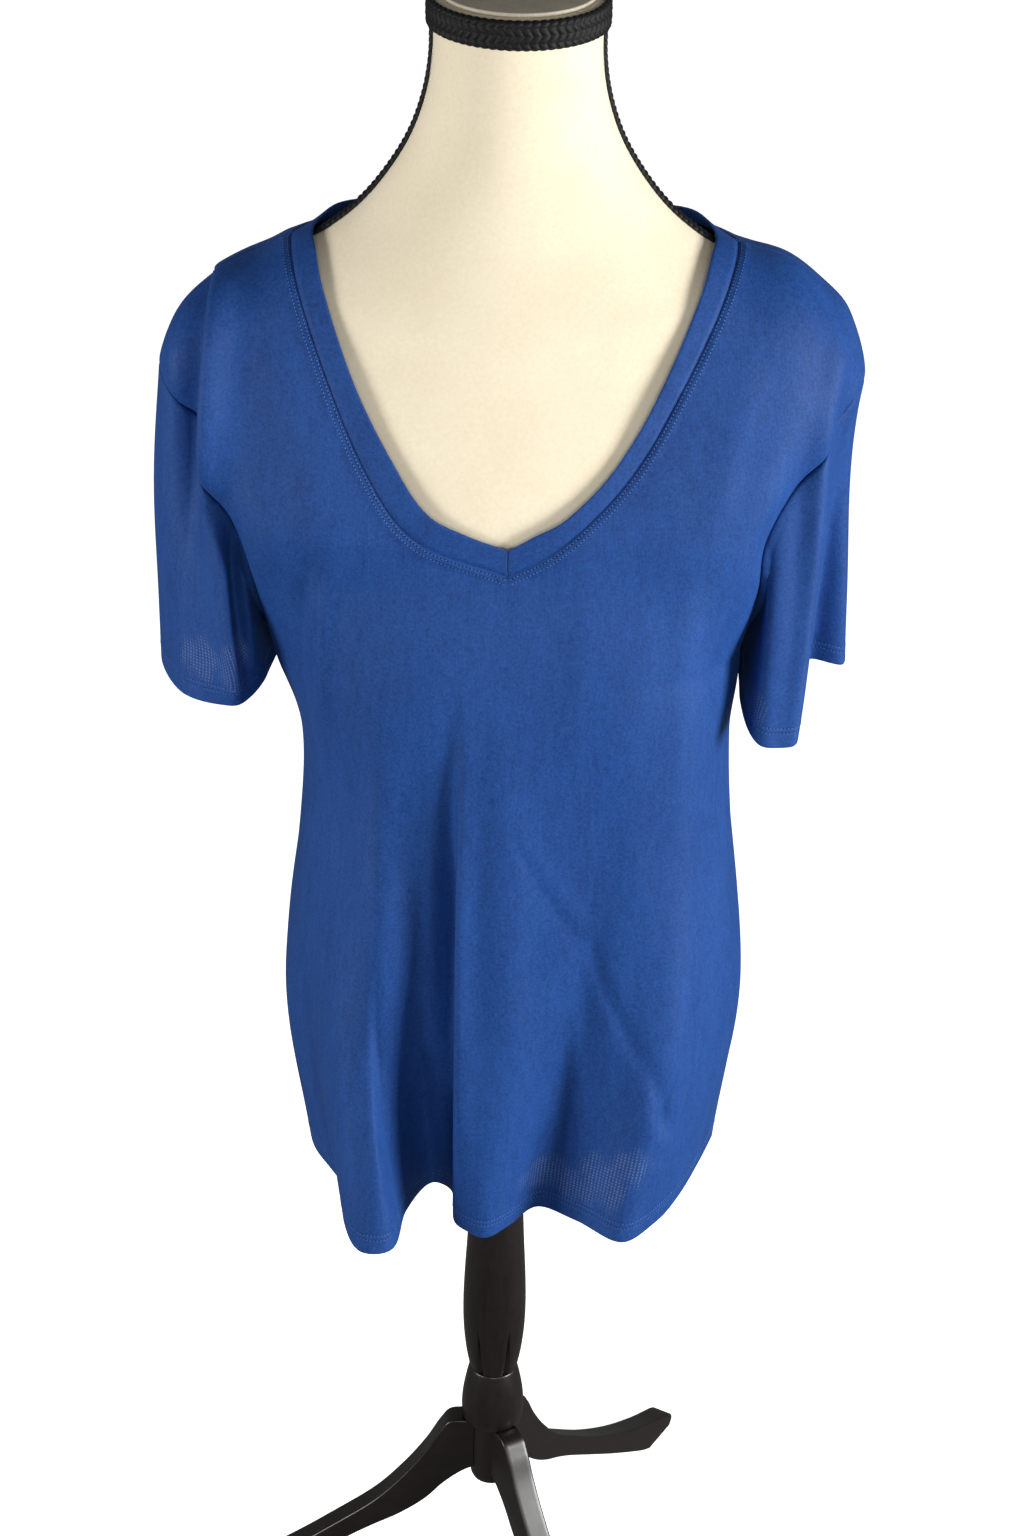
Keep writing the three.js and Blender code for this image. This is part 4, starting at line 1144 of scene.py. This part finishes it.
SLEEVE_MIDDLE = 190  # x of a sleeve's upright middle
SLEEVE_FULLNESS = {1: -3, -1: 3}  # by side; the left sleeve hangs a little hollow
UNDERARM_STAND = 8  # how far the sleeve stands out from the body under the arm
UNDERARM_ROOM = 1.2  # room for the seam there
STAND_RISE = 0.94  # the share of the way up where it turns back to the armhole
SLEEVE_COLUMNS, SLEEVE_ROWS = 210, 52

# %% Building a sleeve
def armhole(side, place):
    """The armhole's edge, by a place that goes from 0 under the arm, up the front's outer edge to
    the shoulder at a half, and down the back's."""
    front_rows_at = [UNDERARM, POINT, FRONT_TOP - 1, FRONT_TOP]
    front_place = np.interp(place, [0, 1 / 8, 1 / 3, 1 / 2], front_rows_at)
    back_place = np.interp(place, [1 / 2, 2 / 3, 1], [BACK_TOP, BACK_TOP - 1, UNDERARM])
    in_front = front_point(side, 90, front_place)
    return np.where((place <= 0.5)[..., None], in_front, back_point(side, 90, back_place))


def sleeve_point(side, cuff, place, rise):
    """A point of a sleeve: on the straight way from cuff to armhole, and out from the sleeve's
    upright middle by the fullness times the sine of half a turn of its rise. Under the arm, by 1
    less 1.2 times the square of how far outside it lies, it stands out along x, and over its last
    part it comes back to the armhole."""
    outside = np.sin(np.pi * place)
    under = np.clip(1 - 1.2 * outside**2, 0, 1)
    low, top = round_loop(cuff[:, 0], cuff[:, 1:], place), armhole(side, place)
    up = np.minimum(rise, STAND_RISE)
    point = mix(low, top, up[..., None])
    out = unit((point - [side * SLEEVE_MIDDLE, 0, 0]) * [1, 1, 0])
    point = point + out * (SLEEVE_FULLNESS[side] * np.sin(np.pi * up) * outside)[..., None]
    stand = UNDERARM_STAND * under * up / STAND_RISE
    point[..., 0] += side * stand
    edge = top + np.stack([side * UNDERARM_ROOM * under, 0 * under, 0 * under], axis=-1)
    return mix(point, edge, np.clip((rise - STAND_RISE) / (1 - STAND_RISE), 0, 1)[..., None])


def build_sleeve(name, side, cuff, thin):
    """A sleeve's piece, and its points and normals for the stitches. Its rows are the hem's own
    heights and then steps to the armhole. The right sleeve's columns run the other way round."""
    place = np.linspace(0, 1, SLEEVE_COLUMNS + 1)[None, :-1]
    cuff_edge = round_loop(cuff[:, 0], cuff[:, 1:], place)
    hem = HEM_HEIGHTS[:, None] / np.linalg.norm(armhole(side, place) - cuff_edge, axis=-1)
    rest = mix(hem[-1:], 1, np.linspace(0, 1, SLEEVE_ROWS + 1)[1:, None] ** 0.9)
    rise = np.concatenate([hem, rest])
    points = settle(sleeve_point(side, cuff, np.broadcast_to(place, rise.shape), rise))
    if side < 0:
        points = points[:, ::-1]
    wrapped = np.concatenate([points[:, -1:], points, points[:, :1]], axis=1)
    normals = outer_normals(grid_normals(wrapped)[:, 1:-1])
    relief = hem_relief(len(rise)) + seam_dip(from_top(points))
    made = points + normals * relief[..., None]
    looped = np.concatenate([points, points[:, :1]], axis=1)
    uv = np.stack([run_along(looped, 1)[:, :-1], run_along(points, 0)], axis=-1)
    faces = grid_faces(*made.shape[:2], closed=True)
    masks = {"thin": thin_places(made, thin)}
    piece = add_wall(new_piece(name, made, faces, uv, masks, sharp_degrees=180))
    return piece, made, normals


left_thin = [(157, 853, 9, 11)]
right_thin = [(-197, 872, 13, 15), (-176, 872, 10, 18)]
left_sleeve, *left_grid = build_sleeve("sleeve_left_cloth", 1, left_cuff, left_thin)
right_sleeve, *right_grid = build_sleeve("sleeve_right_cloth", -1, right_cuff, right_thin)
dress(left_sleeve, blue_knit, "knit", "sleeve_left")
dress(right_sleeve, blue_knit, "knit", "sleeve_right")

# %% [markdown]
# ## The neckband
#
# The band is a strip of the same knit, folded in half along its length and sewn on with its
# fold towards the neck. Its two ends meet in a short upright seam at the point of the V. It could
# be a ribbon with a wall, but its fold is round and its seam edge is pressed thin, so it is made
# as a flat tube carried round the neck: its section is two layers with a round fold.

# %% Building the neckband
# place along the neck seam (a row of the front's table, and 9 at the centre back), x, y, z, slant
BAND_EDGE = [
    (4, 0, -102.6, 977, 0),
    (4.7, 20.5, -103, 986.5, -5.5),
    (5.2, 43, -100.8, 999, -7),
    (6, 68.5, -92, 1030, -3.3),
    (6.7, 95, -76, 1077, -2.4),
    (7.33, 115, -49, 1124, -1.2),
    (7.67, 121, -27.5, 1142.5, -0.5),
    (8, 122.8, 0, 1148.4, 0),  # over the shoulder seam
    (8.2, 110, 32.5, 1150.5, 0),
    (8.5, 77, 51, 1148, 0),
    (8.8, 33, 60.5, 1147, 0),
    (9, 0, 62, 1146, 0),
]
band_edge = np.array(BAND_EDGE, float)
BAND_HALF = 0.85  # half the band's thickness
BAND_PRESSED, PRESSED_SHARE = 0.55, 0.16  # its thickness at the seam, and where it is full again
BAND_WIDTH = 15.5  # on the flat cloth, from the seam to the fold
BAND_STEPS, BAND_SECTION = 170, 15
MITRE_GAP = 0.12  # from the middle to each end, where the two ends meet
MITRE_STEPS = [0.01, 0.024, 0.045]  # extra places beside the point, for the seam that dips there
MITRE_DIP, MITRE_WIDTH = 0.75, 0.9


def seam_line(side, place):
    """The neck seam: the front's inner edge, and past the shoulder the back's top edge."""
    angle = BACK_NECK_ANGLE * (FRONT_TOP + 1 - np.maximum(place, FRONT_TOP))
    in_front = front_point(side, 0, np.minimum(place, FRONT_TOP))
    return np.where((place <= FRONT_TOP)[..., None], in_front, back_point(side, angle, BACK_TOP))


def fold_line(side, place):
    """The band's fold. The slant moves both sides the same way."""
    x, y, z, slant = through(band_edge[:, 0], band_edge[:, 1:], place).T
    return np.stack([side * x + slant, y, z], axis=-1)


def build_band():
    """The band as a section carried along the neck. The section goes out along the outer layer
    from the seam to the fold, round it, and back along the inner layer. Its half thickness is the
    band's times the fourth root of 1 less the share of the way to the fold to the eighth, and is
    pressed thinner beside the seam."""
    even = np.linspace(POINT, FRONT_TOP + 1, BAND_STEPS)
    place = np.insert(even, 1, POINT + np.array(MITRE_STEPS))
    halves = []
    for side in (1, -1):
        lines = [settle(line(side, place)) for line in (seam_line, fold_line)]
        for line in lines:
            line[0, 0] = side * MITRE_GAP
        halves.append(lines)
    seam, fold = (np.concatenate([left, right[-2::-1]])[:, None] for left, right in zip(*halves))
    share = np.linspace(0, 1, BAND_SECTION) ** 0.8
    across = np.concatenate([share, share[-2::-1]])[None, :, None]
    pressed = mix(BAND_PRESSED, 1, smooth_step(0, PRESSED_SHARE, across))
    half = BAND_HALF * pressed * (1 - across**8) ** 0.25
    one_layer = np.ones(BAND_SECTION - 1)
    layer = np.concatenate([one_layer, [0], -one_layer])[None, :, None]
    middle = mix(seam, fold, across)
    way = unit(np.gradient(seam[:, 0], axis=0))[:, None]
    outward = unit(np.cross(way, fold - seam))
    dip = seam_dip(across * np.linalg.norm(fold - seam, axis=-1, keepdims=True))
    run = run_along(seam, 0)
    mitre = MITRE_DIP * bump(np.minimum(run, run[-1] - run), MITRE_WIDTH)[..., None]
    points = middle + outward * (layer * half + dip - mitre * (layer > 0))
    flat_height = BAND_WIDTH * (across * layer)[..., 0]
    uv = np.stack(np.broadcast_arrays(run, flat_height), axis=-1)
    faces = [face[::-1] for face in tube_faces(*points.shape[:2])]
    masks = {"thin": np.zeros(points.shape[:2])}
    return new_piece("shirt_neckband", points, faces, uv, masks, sharp_degrees=50)


neckband = dress(build_band(), blue_knit, "knit", "neckband")

# %% [markdown]
# ## Twin-needle stitching
#
# Two rows of straight stitches run round every hem, and round the neck beside its seam. Their
# lines could be drawn by hand as curves, but are taken from the panels' own grids instead, so
# each thread lies in its channel.

# %% Threads on the hems, the cuffs and the neck
THREAD_LIFT = LAYER / 2 + 0.1
MIDDLE_ROOM = 0.4  # a neck row of one half stops this far from the middle


def along_row(row, grids):
    """A line along one row of grids laid end to end, with its normals, just over the cloth."""
    points = np.concatenate([points[row] for points, _ in grids])
    normals = np.concatenate([normals[row] for _, normals in grids])
    return points + normals * THREAD_LIFT, normals


def beside_neck(half, side, away):
    """A line beside the front's neck seam, this far into the panel. Near the point it stops where
    it would cross to the other half."""
    points, normals, _ = half
    start = len(HEM_HEIGHTS) + FLAT_ROWS - 1  # the row at the point of the V
    edge, inside, outward = points[start:, 0], points[start:, 4], normals[start:, 1]
    way = unit(np.gradient(edge, axis=0))
    inward = inside - edge
    inward = unit(inward - way * np.sum(inward * way, axis=-1, keepdims=True))
    line = edge + inward * away + outward * (THREAD_LIFT + SEAM_DIP)
    own = side * line[:, 0] > MIDDLE_ROOM
    return line[own], outward[own]


hem_lines = []
for row in NEEDLE_ROWS:
    for halves in (front_halves, back_halves):
        (right_points, right_normals, _), (left_points, left_normals, _) = halves
        hem_lines.append(along_row(row, [
            (right_points[:, ::-1], right_normals[:, ::-1]),
            (left_points[:, 1:], left_normals[:, 1:]),
        ]))
neck_lines = [beside_neck(half, side, away)
              for half, side in zip(front_halves, SIDES) for away in NECK_NEEDLES]
neck_columns = np.flatnonzero(column_angles(back_point, 2) <= BACK_NECK_ANGLE)
for points, normals, _ in back_halves:
    below = from_top(points)[:, neck_columns]
    for away in NECK_NEEDLES:
        rows = np.argmin(np.abs(below - away), axis=0)
        outward = normals[rows, neck_columns]
        neck_lines.append((points[rows, neck_columns] + outward * THREAD_LIFT, outward))
left_lines = [along_row(row, [left_grid]) for row in NEEDLE_ROWS]
right_lines = [along_row(row, [right_grid]) for row in NEEDLE_ROWS]

hem_stitches = stitches("hem_stitches", hem_lines, blue_thread, needle_hole_shade)
neck_stitches = stitches("neck_stitches", neck_lines, blue_thread, needle_hole_shade)
left_stitches = stitches("sleeve_left_stitches", left_lines, blue_thread, needle_hole_shade)
right_stitches = stitches("sleeve_right_stitches", right_lines, blue_thread, needle_hole_shade)

# %% [markdown]
# ## The dress form
#
# The torso is a foam shell under tight cream jersey. It could be sculpted, but a stack of squared
# circles keeps its smooth, general figure. They dip at their two ends, where the shoulders and
# the arm plates slope. A plaited braid covers the raw edge round the neck, and a narrow one the
# seam down each side.

# %% The form's rings
# half width, height of its ends, reach and height in front, reach and height behind, square
FORM_COLUMNS = "half end front front_z back back_z square".split()
FORM_RINGS = [
    (134, 556, 88, 556, 98, 556, 2.3),
    (143, 620, 96, 620, 104, 620, 2.3),
    (132, 700, 96, 700, 90, 700, 2.3),
    (114, 790, 84, 790, 68, 790, 2.3),  # waist
    (124, 860, 92, 860, 78, 860, 2.3),
    (138, 946, 100, 946, 86, 950, 2.4),  # bust
    (150, 990, 98, 982, 89, 992, 2.3),
    (167, 1028, 95, 1010, 88, 1024, 2.2),
    (181, 1060, 90, 1037, 83, 1056, 2.1),
    (187, 1086, 84, 1058, 75, 1081, 2.0),  # arm plates
    (181, 1108, 77, 1082, 68, 1102, 1.9),
    (163, 1125, 71, 1103, 61.5, 1120, 1.9),
    (139, 1136, 65, 1121, 56, 1139, 1.9),
    (116, 1147.5, 60, 1137, 53.5, 1157.5, 2.0),
    (91, 1169, 56, 1155, 52, 1180, 2.0),
    (69, 1200, 52, 1182, 51, 1206, 2.0),
    (57, 1229, 51, 1216, 51, 1232, 2.0),
    (51.5, 1260, 51, 1256, 51, 1260, 2.0),
    (52, 1296, 52, 1296, 52, 1296, 2.0),
]
form_rings = dict(zip(FORM_COLUMNS, np.array(FORM_RINGS, float).T))
FORM_TURNS, FORM_STEPS = 128, 150
EDGE_ROUND = 2.5


def form_point(place, turn, grow=0):
    """A point of the form. Across is the cosine of the turn and deep its sine, each to the power
    of 2 over the ring's square. The height goes from the middle's to the end's by the square of
    across."""
    place, turn = np.broadcast_arrays(np.asarray(place, float), np.asarray(turn, float))
    rows = np.arange(len(FORM_RINGS))
    ring = {name: through(rows, form_rings[name], place) for name in FORM_COLUMNS}
    power = 2 / ring["square"]
    across = np.sign(np.cos(turn)) * np.abs(np.cos(turn)) ** power
    deep = np.abs(np.sin(turn)) ** power
    in_front = np.sin(turn) < 0
    reach = np.where(in_front, -ring["front"] - grow, ring["back"] + grow)
    middle = np.where(in_front, ring["front_z"], ring["back_z"])
    height = mix(middle, ring["end"], across**2)
    across = across * (ring["half"] + grow)
    return np.stack(np.broadcast_arrays(across, deep * reach, height), axis=-1)


def build_form():
    """The torso, with its lower and upper edges rounded by a quarter circle, and closed."""
    turn = np.arange(FORM_TURNS)[None] * 2 * np.pi / FORM_TURNS
    last = len(FORM_RINGS) - 1
    quarter = np.linspace(0, np.pi / 2, 6)[:, None]
    body = form_point(np.linspace(0.05, last - 0.06, FORM_STEPS)[:, None], turn)
    low = form_point(0, turn, -EDGE_ROUND * (1 - np.sin(quarter)))
    low[..., 2] += EDGE_ROUND * (1 - np.cos(quarter))
    high = form_point(last, turn, -EDGE_ROUND * (1 - np.cos(quarter)))
    high[..., 2] -= EDGE_ROUND * (1 - np.sin(quarter))
    points = np.concatenate([low, body, high])
    uv = np.stack([run_along(points, 1), run_along(points, 0)], axis=-1)
    faces = tube_faces(*points.shape[:2])
    return new_piece("form_cover", points, faces, uv, sharp_degrees=70)


dress(build_form(), cream_jersey, "form_jersey", "form_torso")

# %% [markdown]
# ## Plaited braid
#
# Both braids are flat plaits. Single strands could be carried along crossing curves, but at this
# size a relief on one strip looks the same and stays light. Across the strip run a few ranks,
# and in each rank short strands lie side by side, leaning one way in one rank and the other way
# in the next, which reads as a herringbone. The edges are scalloped by the strands.

# %% Building the braids
BRAID_RADIUS = 55  # of the ring round the neck, at the middle of its thickness
SIDE_BRAID_RINGS = (17.5, 10)  # rows of the form's table between which the side braids run


def around(radius, turn, height):
    """Points about the axis: x is the radius times the turn's cosine, and y times its sine."""
    place = radius * np.cos(turn), radius * np.sin(turn), height
    return np.stack(np.broadcast_arrays(*place), axis=-1)


def plait(run, across, ranks, pitch, lean=0.55):
    """The relief of a plait from 0 to 1, by the run along it and the share across it. A strand is
    the sine of its phase to the power 0.6, and a rank the root of the sine of the way across it."""
    rank = np.minimum(np.floor(across * ranks), ranks - 1)
    inside = across * ranks - rank
    direction = 1 - 2 * (rank % 2)
    phase = run / pitch + direction * lean * (inside - 0.5)
    strand = np.abs(np.sin(np.pi * phase)) ** 0.6
    return strand * (0.35 + 0.65 * np.abs(np.sin(np.pi * inside)) ** 0.5)


def build_neck_braid(bottom=1278.6, top=1296.4, inner=52.6, strands=66, ranks=4):
    """The ring of braid round the neck's top, a closed band whose outer face carries the plait. It
    stands out by the plait times the root of 1 less the way from its middle to the sixth."""
    steps = 14 * strands
    turn = np.arange(steps) * 2 * np.pi / steps
    run = turn * BRAID_RADIUS
    pitch = 2 * np.pi * BRAID_RADIUS / strands
    share = np.linspace(0, 1, 28)[:, None]
    from_middle = 2 * share - 1
    scallop = 0.55 * np.abs(np.sin(np.pi * run / pitch))
    height = mix(bottom, top, share) + from_middle * scallop
    edge = (1 - np.abs(from_middle) ** 6) ** 0.5
    radius = inner + 0.6 + edge * (1.8 + 1.2 * plait(run, share, ranks, pitch))
    outer = around(radius, turn, height)
    inner_edges = [around(inner, turn, each) for each in (height[-1:] - 0.3, height[:1] + 0.3)]
    points = np.concatenate([outer, *inner_edges, outer[:1]])
    faces = grid_faces(*points.shape[:2], closed=True)
    return new_piece("neck_braid", points, faces, sharp_degrees=70)


def build_side_braid(name, side, pitch=4.2, ranks=2, half_turn=0.066):
    """The braid down one side of the form, from the neck's braid over the shoulder. It lies on the
    form's own surface and stands out from it like the neck's, by a fourth power."""
    place = np.linspace(*SIDE_BRAID_RINGS, 420)
    middle = 0.0 if side > 0 else np.pi
    share = np.linspace(0, 1, 15)[None]
    from_middle = 2 * share - 1
    run = run_along(form_point(place, middle), 0)[:, None]
    scallop = 1 + 0.1 * np.abs(np.sin(np.pi * run / pitch)) ** 0.7
    base = form_point(place[:, None], middle + from_middle * half_turn * scallop)
    up = unit(np.cross(np.gradient(base, axis=0), np.gradient(base, axis=1)))
    ridge = up[:, [share.size // 2]]
    up = up * np.sign(ridge[..., 0:1] * side + ridge[..., 2:3])
    edge = (1 - np.abs(from_middle) ** 4) ** 0.5
    top = base + up * (0.35 + edge * (1.3 + 1.1 * plait(run, share, ranks, pitch)))[..., None]
    under = base + up * 0.25
    loop = np.concatenate([top, under[:, ::-1]], axis=1)
    return new_piece(name, loop, tube_faces(*loop.shape[:2]), sharp_degrees=70)


dress(build_neck_braid(), black_braid, "braid", "neck_trim")
dress(build_side_braid("side_braid_left", 1), black_braid, "braid", "side_trim_left")
dress(build_side_braid("side_braid_right", -1), black_braid, "braid", "side_trim_right")

# %% [markdown]
# ## The stand
#
# The pole, its collar and the hub are turned on a lathe. A screw modifier could spin their
# profiles, but here each is a grid about the axis, because a carver's short pointed flutes rise
# from the foot of the pole. The three legs are sawn from plank with their long edges eased, and
# are hollowed where they meet the hub.

# %% Turned pieces
# radius and height, from the bottom up
POLE_PROFILE = [
    (17.6, 258), (20.4, 274), (22.4, 294), (23, 316), (22.3, 342),
    (20.5, 378), (18.6, 430), (17.6, 490), (17.6, 546.7),
]
COLLAR_PROFILE = [(17, 205.3), (21.4, 208.5), (23, 218), (22.4, 232), (20, 247), (17.6, 257.7)]
HUB_PROFILE = [(9, 150), (14, 153), (16, 160), (16, 205)]
FLUTE_TOP, FLUTE_FOOT, FLUTE_HALF, FLUTE_DEPTH = 304, 260, 3.4, 2.0
LATHE_TURNS = 192
CAP_RADIUS, CAP_LOW, CAP_HIGH = 47, 1296.3, 1299


def profile_radius(profile, height):
    """A turned piece's radius at a height, on the smooth curve through its profile."""
    radius, heights = np.array(profile, float).T
    return through(heights, radius, np.clip(height, heights[0], heights[-1]))


def build_turned(name, profile, rows, edge=0.8, flutes=0):
    """A profile about the axis, with eased ends: the last part of each end draws in by a quarter
    circle. Each flute is a V that is widest at the foot and comes to a point."""
    low, high = profile[0][1], profile[-1][1]
    ease = edge * (1 - np.cos(np.linspace(0, np.pi / 2, 5)))
    even = np.linspace(low + edge, high - edge, rows)[1:-1]
    height = np.concatenate([low + ease, even, high - ease[::-1]])
    from_end = np.minimum(np.minimum(height - low, high - height), edge)
    radius = profile_radius(profile, height) - edge + np.sqrt(edge**2 - (edge - from_end) ** 2)
    turn = np.arange(LATHE_TURNS) * 2 * np.pi / LATHE_TURNS
    radius = np.repeat(radius[:, None], LATHE_TURNS, axis=1)
    if flutes:
        spread = np.clip((FLUTE_TOP - height) / (FLUTE_TOP - FLUTE_FOOT), 0, 1)
        spread = FLUTE_HALF * spread[:, None]
        sector = 2 * np.pi / flutes
        arc = np.abs((turn[None] + sector / 2) % sector - sector / 2) * radius
        cut = np.clip(1 - arc / np.maximum(spread, 0.01), 0, 1) * np.minimum(spread, 1)
        radius = radius - FLUTE_DEPTH * cut
    points = around(radius, turn, height[:, None])
    return new_piece(name, points, tube_faces(*points.shape[:2]), sharp_degrees=60)


pole = build_turned("turned_pole", POLE_PROFILE, 120, flutes=6)
collar = build_turned("turned_collar", COLLAR_PROFILE, 30, edge=1.2)
hub = build_turned("turned_hub", HUB_PROFILE, 20, edge=0.6)
for piece, node_name in ((pole, "pole"), (collar, "pole_collar"), (hub, "hub")):
    dress(piece, turned_lacquer, "black_wood", node_name)
cap = build_turned("neck_cap", [(CAP_RADIUS, CAP_LOW), (CAP_RADIUS, CAP_HIGH)], 4, edge=1.0)
dress(cap, disc_board, "neck_disc", "neck_disc")
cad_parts["form_base"].data.materials.clear()
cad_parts["form_base"].data.materials.append(plywood)

# %% Sawn legs
# reach from the axis and height, along the top edge outwards and back along the lower edge
LEG_TOP = [
    (10, 208), (30, 208), (39, 198), (50, 178), (66, 155), (88, 130), (118, 106),
    (155, 79), (200, 51), (245, 28), (278, 14), (285, 7), (281, 0),
]
LEG_BOTTOM = [
    (246, 0), (230, 9), (185, 39), (145, 67), (111, 91), (91, 104), (69, 117),
    (50, 132), (36, 148), (22, 160), (10, 166),
]
PLANK, LEG_FIT, LEG_EASE = 18, 0.4, 1.6
POLE_END = 17.5  # radius kept free above the hub, for the pole's end inside the collar
LEG_TURNS = (180, -60, 60)  # degrees about the axis


def curve_points(rows, each=8):
    """A smooth curve through an edge's rows, with this many steps between two rows."""
    rows = np.array(rows, float)
    at = np.linspace(0, len(rows) - 1, each * (len(rows) - 1) + 1)
    return through(np.arange(len(rows)), rows, at)


def build_leg(name, turn):
    """A leg: its outline carried across the plank. Near a face the outline draws in along its own
    normal by a quarter circle, and the inner end stays a fit's gap off the hub and the collar: its
    reach is at least the root of their radius squared less the place across squared."""
    inner_end = np.linspace(LEG_BOTTOM[-1], LEG_TOP[0], 24)[1:-1]
    outline = np.concatenate([curve_points(LEG_TOP), curve_points(LEG_BOTTOM), inner_end])
    outline[:, 1] = np.maximum(outline[:, 1], 0)
    before, after = np.roll(outline, 1, axis=0), np.roll(outline, -1, axis=0)
    way = unit(unit(outline - before) + unit(after - outline))
    inward = np.stack([way[:, 1], -way[:, 0]], axis=-1)
    half = PLANK / 2
    quarter = np.linspace(0, np.pi / 2, 6)
    eased = half - LEG_EASE * (1 - np.cos(quarter))
    flat = np.linspace(LEG_EASE - half, half - LEG_EASE, 9)[1:-1]
    across = np.concatenate([-eased, flat, eased[::-1]])
    past = np.maximum(np.abs(across) - half + LEG_EASE, 0)
    ease = LEG_EASE - np.sqrt(np.maximum(LEG_EASE**2 - past**2, 0))
    rows = outline[:, None] + inward[:, None] * ease[None, :, None]
    reach, height = rows[..., 0], rows[..., 1]
    collar_low, hub_high = COLLAR_PROFILE[0][1], HUB_PROFILE[-1][1]
    radii = [profile_radius(each, height) for each in (COLLAR_PROFILE, HUB_PROFILE)]
    turned = np.where(height > collar_low, *radii)
    turned = np.where(height > hub_high - 0.5, np.maximum(turned, POLE_END), turned)
    room = np.sqrt(np.maximum((turned + LEG_FIT) ** 2 - across**2, 0))
    reach = np.maximum(reach, room)
    cos, sin = np.cos(np.radians(turn)), np.sin(np.radians(turn))
    points = np.stack([reach * cos - across * sin, reach * sin + across * cos, height], axis=-1)
    points = points.transpose(1, 0, 2)
    return new_piece(name, points, tube_faces(*points.shape[:2]), sharp_degrees=50)


for number, turn in enumerate(LEG_TURNS, 1):
    dress(build_leg(f"plank_leg_{number}", turn), plank_lacquer, "black_wood", f"leg_{number}")


# %% [markdown]
# ## The room
#
# A pale floor that runs out of sight, a white room round it and two wide soft lamps in front of
# the shirt, one on each side, so that the middle of each fold and of the pole stays darker than
# its flanks. The right lamp is the stronger, which gives the folds a light and a dark side. A
# weak third one straight in front fills the deepest troughs.

# %% Floor and lamps
def build_floor(half=14.0):
    """A square of plain pale floor. It glows, so that the lamps leave no bright patch on it, and
    throws no light on the shirt."""
    corners = [(-half, -half, 0), (half, -half, 0), (half, half, 0), (-half, half, 0)]
    mesh = bpy.data.meshes.new("floor")
    mesh.from_pydata(corners, [], [(0, 1, 2, 3)])
    floor = bpy.data.objects.new("floor", mesh)
    bpy.context.scene.collection.objects.link(floor)
    material, _, shader = new_material(
        "pale_floor", Roughness=0.9, Specular_IOR_Level=0.1, Emission_Strength=0.86)
    shader.inputs["Base Color"].default_value = (0.9, 0.9, 0.9, 1)
    shader.inputs["Emission Color"].default_value = (1, 1, 1, 1)
    mesh.materials.append(material)
    floor.visible_diffuse = False
    floor.visible_glossy = False
    floor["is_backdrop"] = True


def add_lamp(name, place, aim, size, watts):
    """A square soft lamp at a place, turned to look at its aim, both in metres."""
    lamp = bpy.data.lights.new(name, "AREA")
    lamp.size, lamp.energy = size, watts
    holder = bpy.data.objects.new(name, lamp)
    holder.location = place
    holder.rotation_euler = (Vector(aim) - Vector(place)).to_track_quat("-Z", "Y").to_euler()
    bpy.context.scene.collection.objects.link(holder)


build_floor()
chest = (AXIS[0] / 1000, 0, 0.95)
add_lamp("left_lamp", (-2.4, -1.2, 1.2), chest, 1.0, 50)
add_lamp("right_lamp", (2.5, -1.0, 1.15), chest, 1.0, 100)
add_lamp("front_lamp", (0.3, -2.8, 1.5), chest, 1.2, 20)
print("lamps:", {lamp.name: lamp.energy for lamp in bpy.data.lights})
world = bpy.data.worlds.new("room")
world.use_nodes = True
world.node_tree.nodes["Background"].inputs[0].default_value = (1, 1, 1, 1)
world.node_tree.nodes["Background"].inputs[1].default_value = 0.12
bpy.context.scene.world = world
bpy.context.scene.view_settings.view_transform = "Standard"

# %% [markdown]
# ## The camera
#
# A long lens stands two metres off, above the shirt, and looks down on the chest. From there the
# hem reads as a curve and the shoulders hide the back. It is rolled by about a degree.

# %% Camera
CAMERA_PLACE = np.array([5.0, -2046.0, 1923.0])
PITCH, ROLL = np.radians(29.5), np.radians(1.15)
FILM_WIDTH, FOCAL_LENGTH = 36, 82.03
forward = Vector((0, np.cos(PITCH), -np.sin(PITCH)))
level_right = Vector((1, 0, 0))
level_up = level_right.cross(forward)
right_way = level_right * np.cos(ROLL) + level_up * np.sin(ROLL)
up_way = -level_right * np.sin(ROLL) + level_up * np.cos(ROLL)
lens = bpy.data.cameras.new("camera")
lens.sensor_fit, lens.sensor_width, lens.lens = "AUTO", FILM_WIDTH, FOCAL_LENGTH
lens.clip_start, lens.clip_end = 0.05, 60
camera = bpy.data.objects.new("camera", lens)
turned = Matrix((right_way, up_way, -forward)).transposed().to_4x4()
camera.matrix_world = Matrix.Translation((CAMERA_PLACE + AXIS) / 1000) @ turned
bpy.context.scene.collection.objects.link(camera)
bpy.context.scene.camera = camera
print("camera at", tuple(round(each, 3) for each in camera.location))

# %% [markdown]
# ## The size of the whole
#
# The size of the whole is printed beside the plain model's own.

# %% Sizes
sizes = {"cad": cad_bounds, "visual": [list(corner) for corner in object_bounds()]}
sizes = {name: [[float(value) for value in corner] for corner in box]
         for name, box in sizes.items()}
print(sizes)
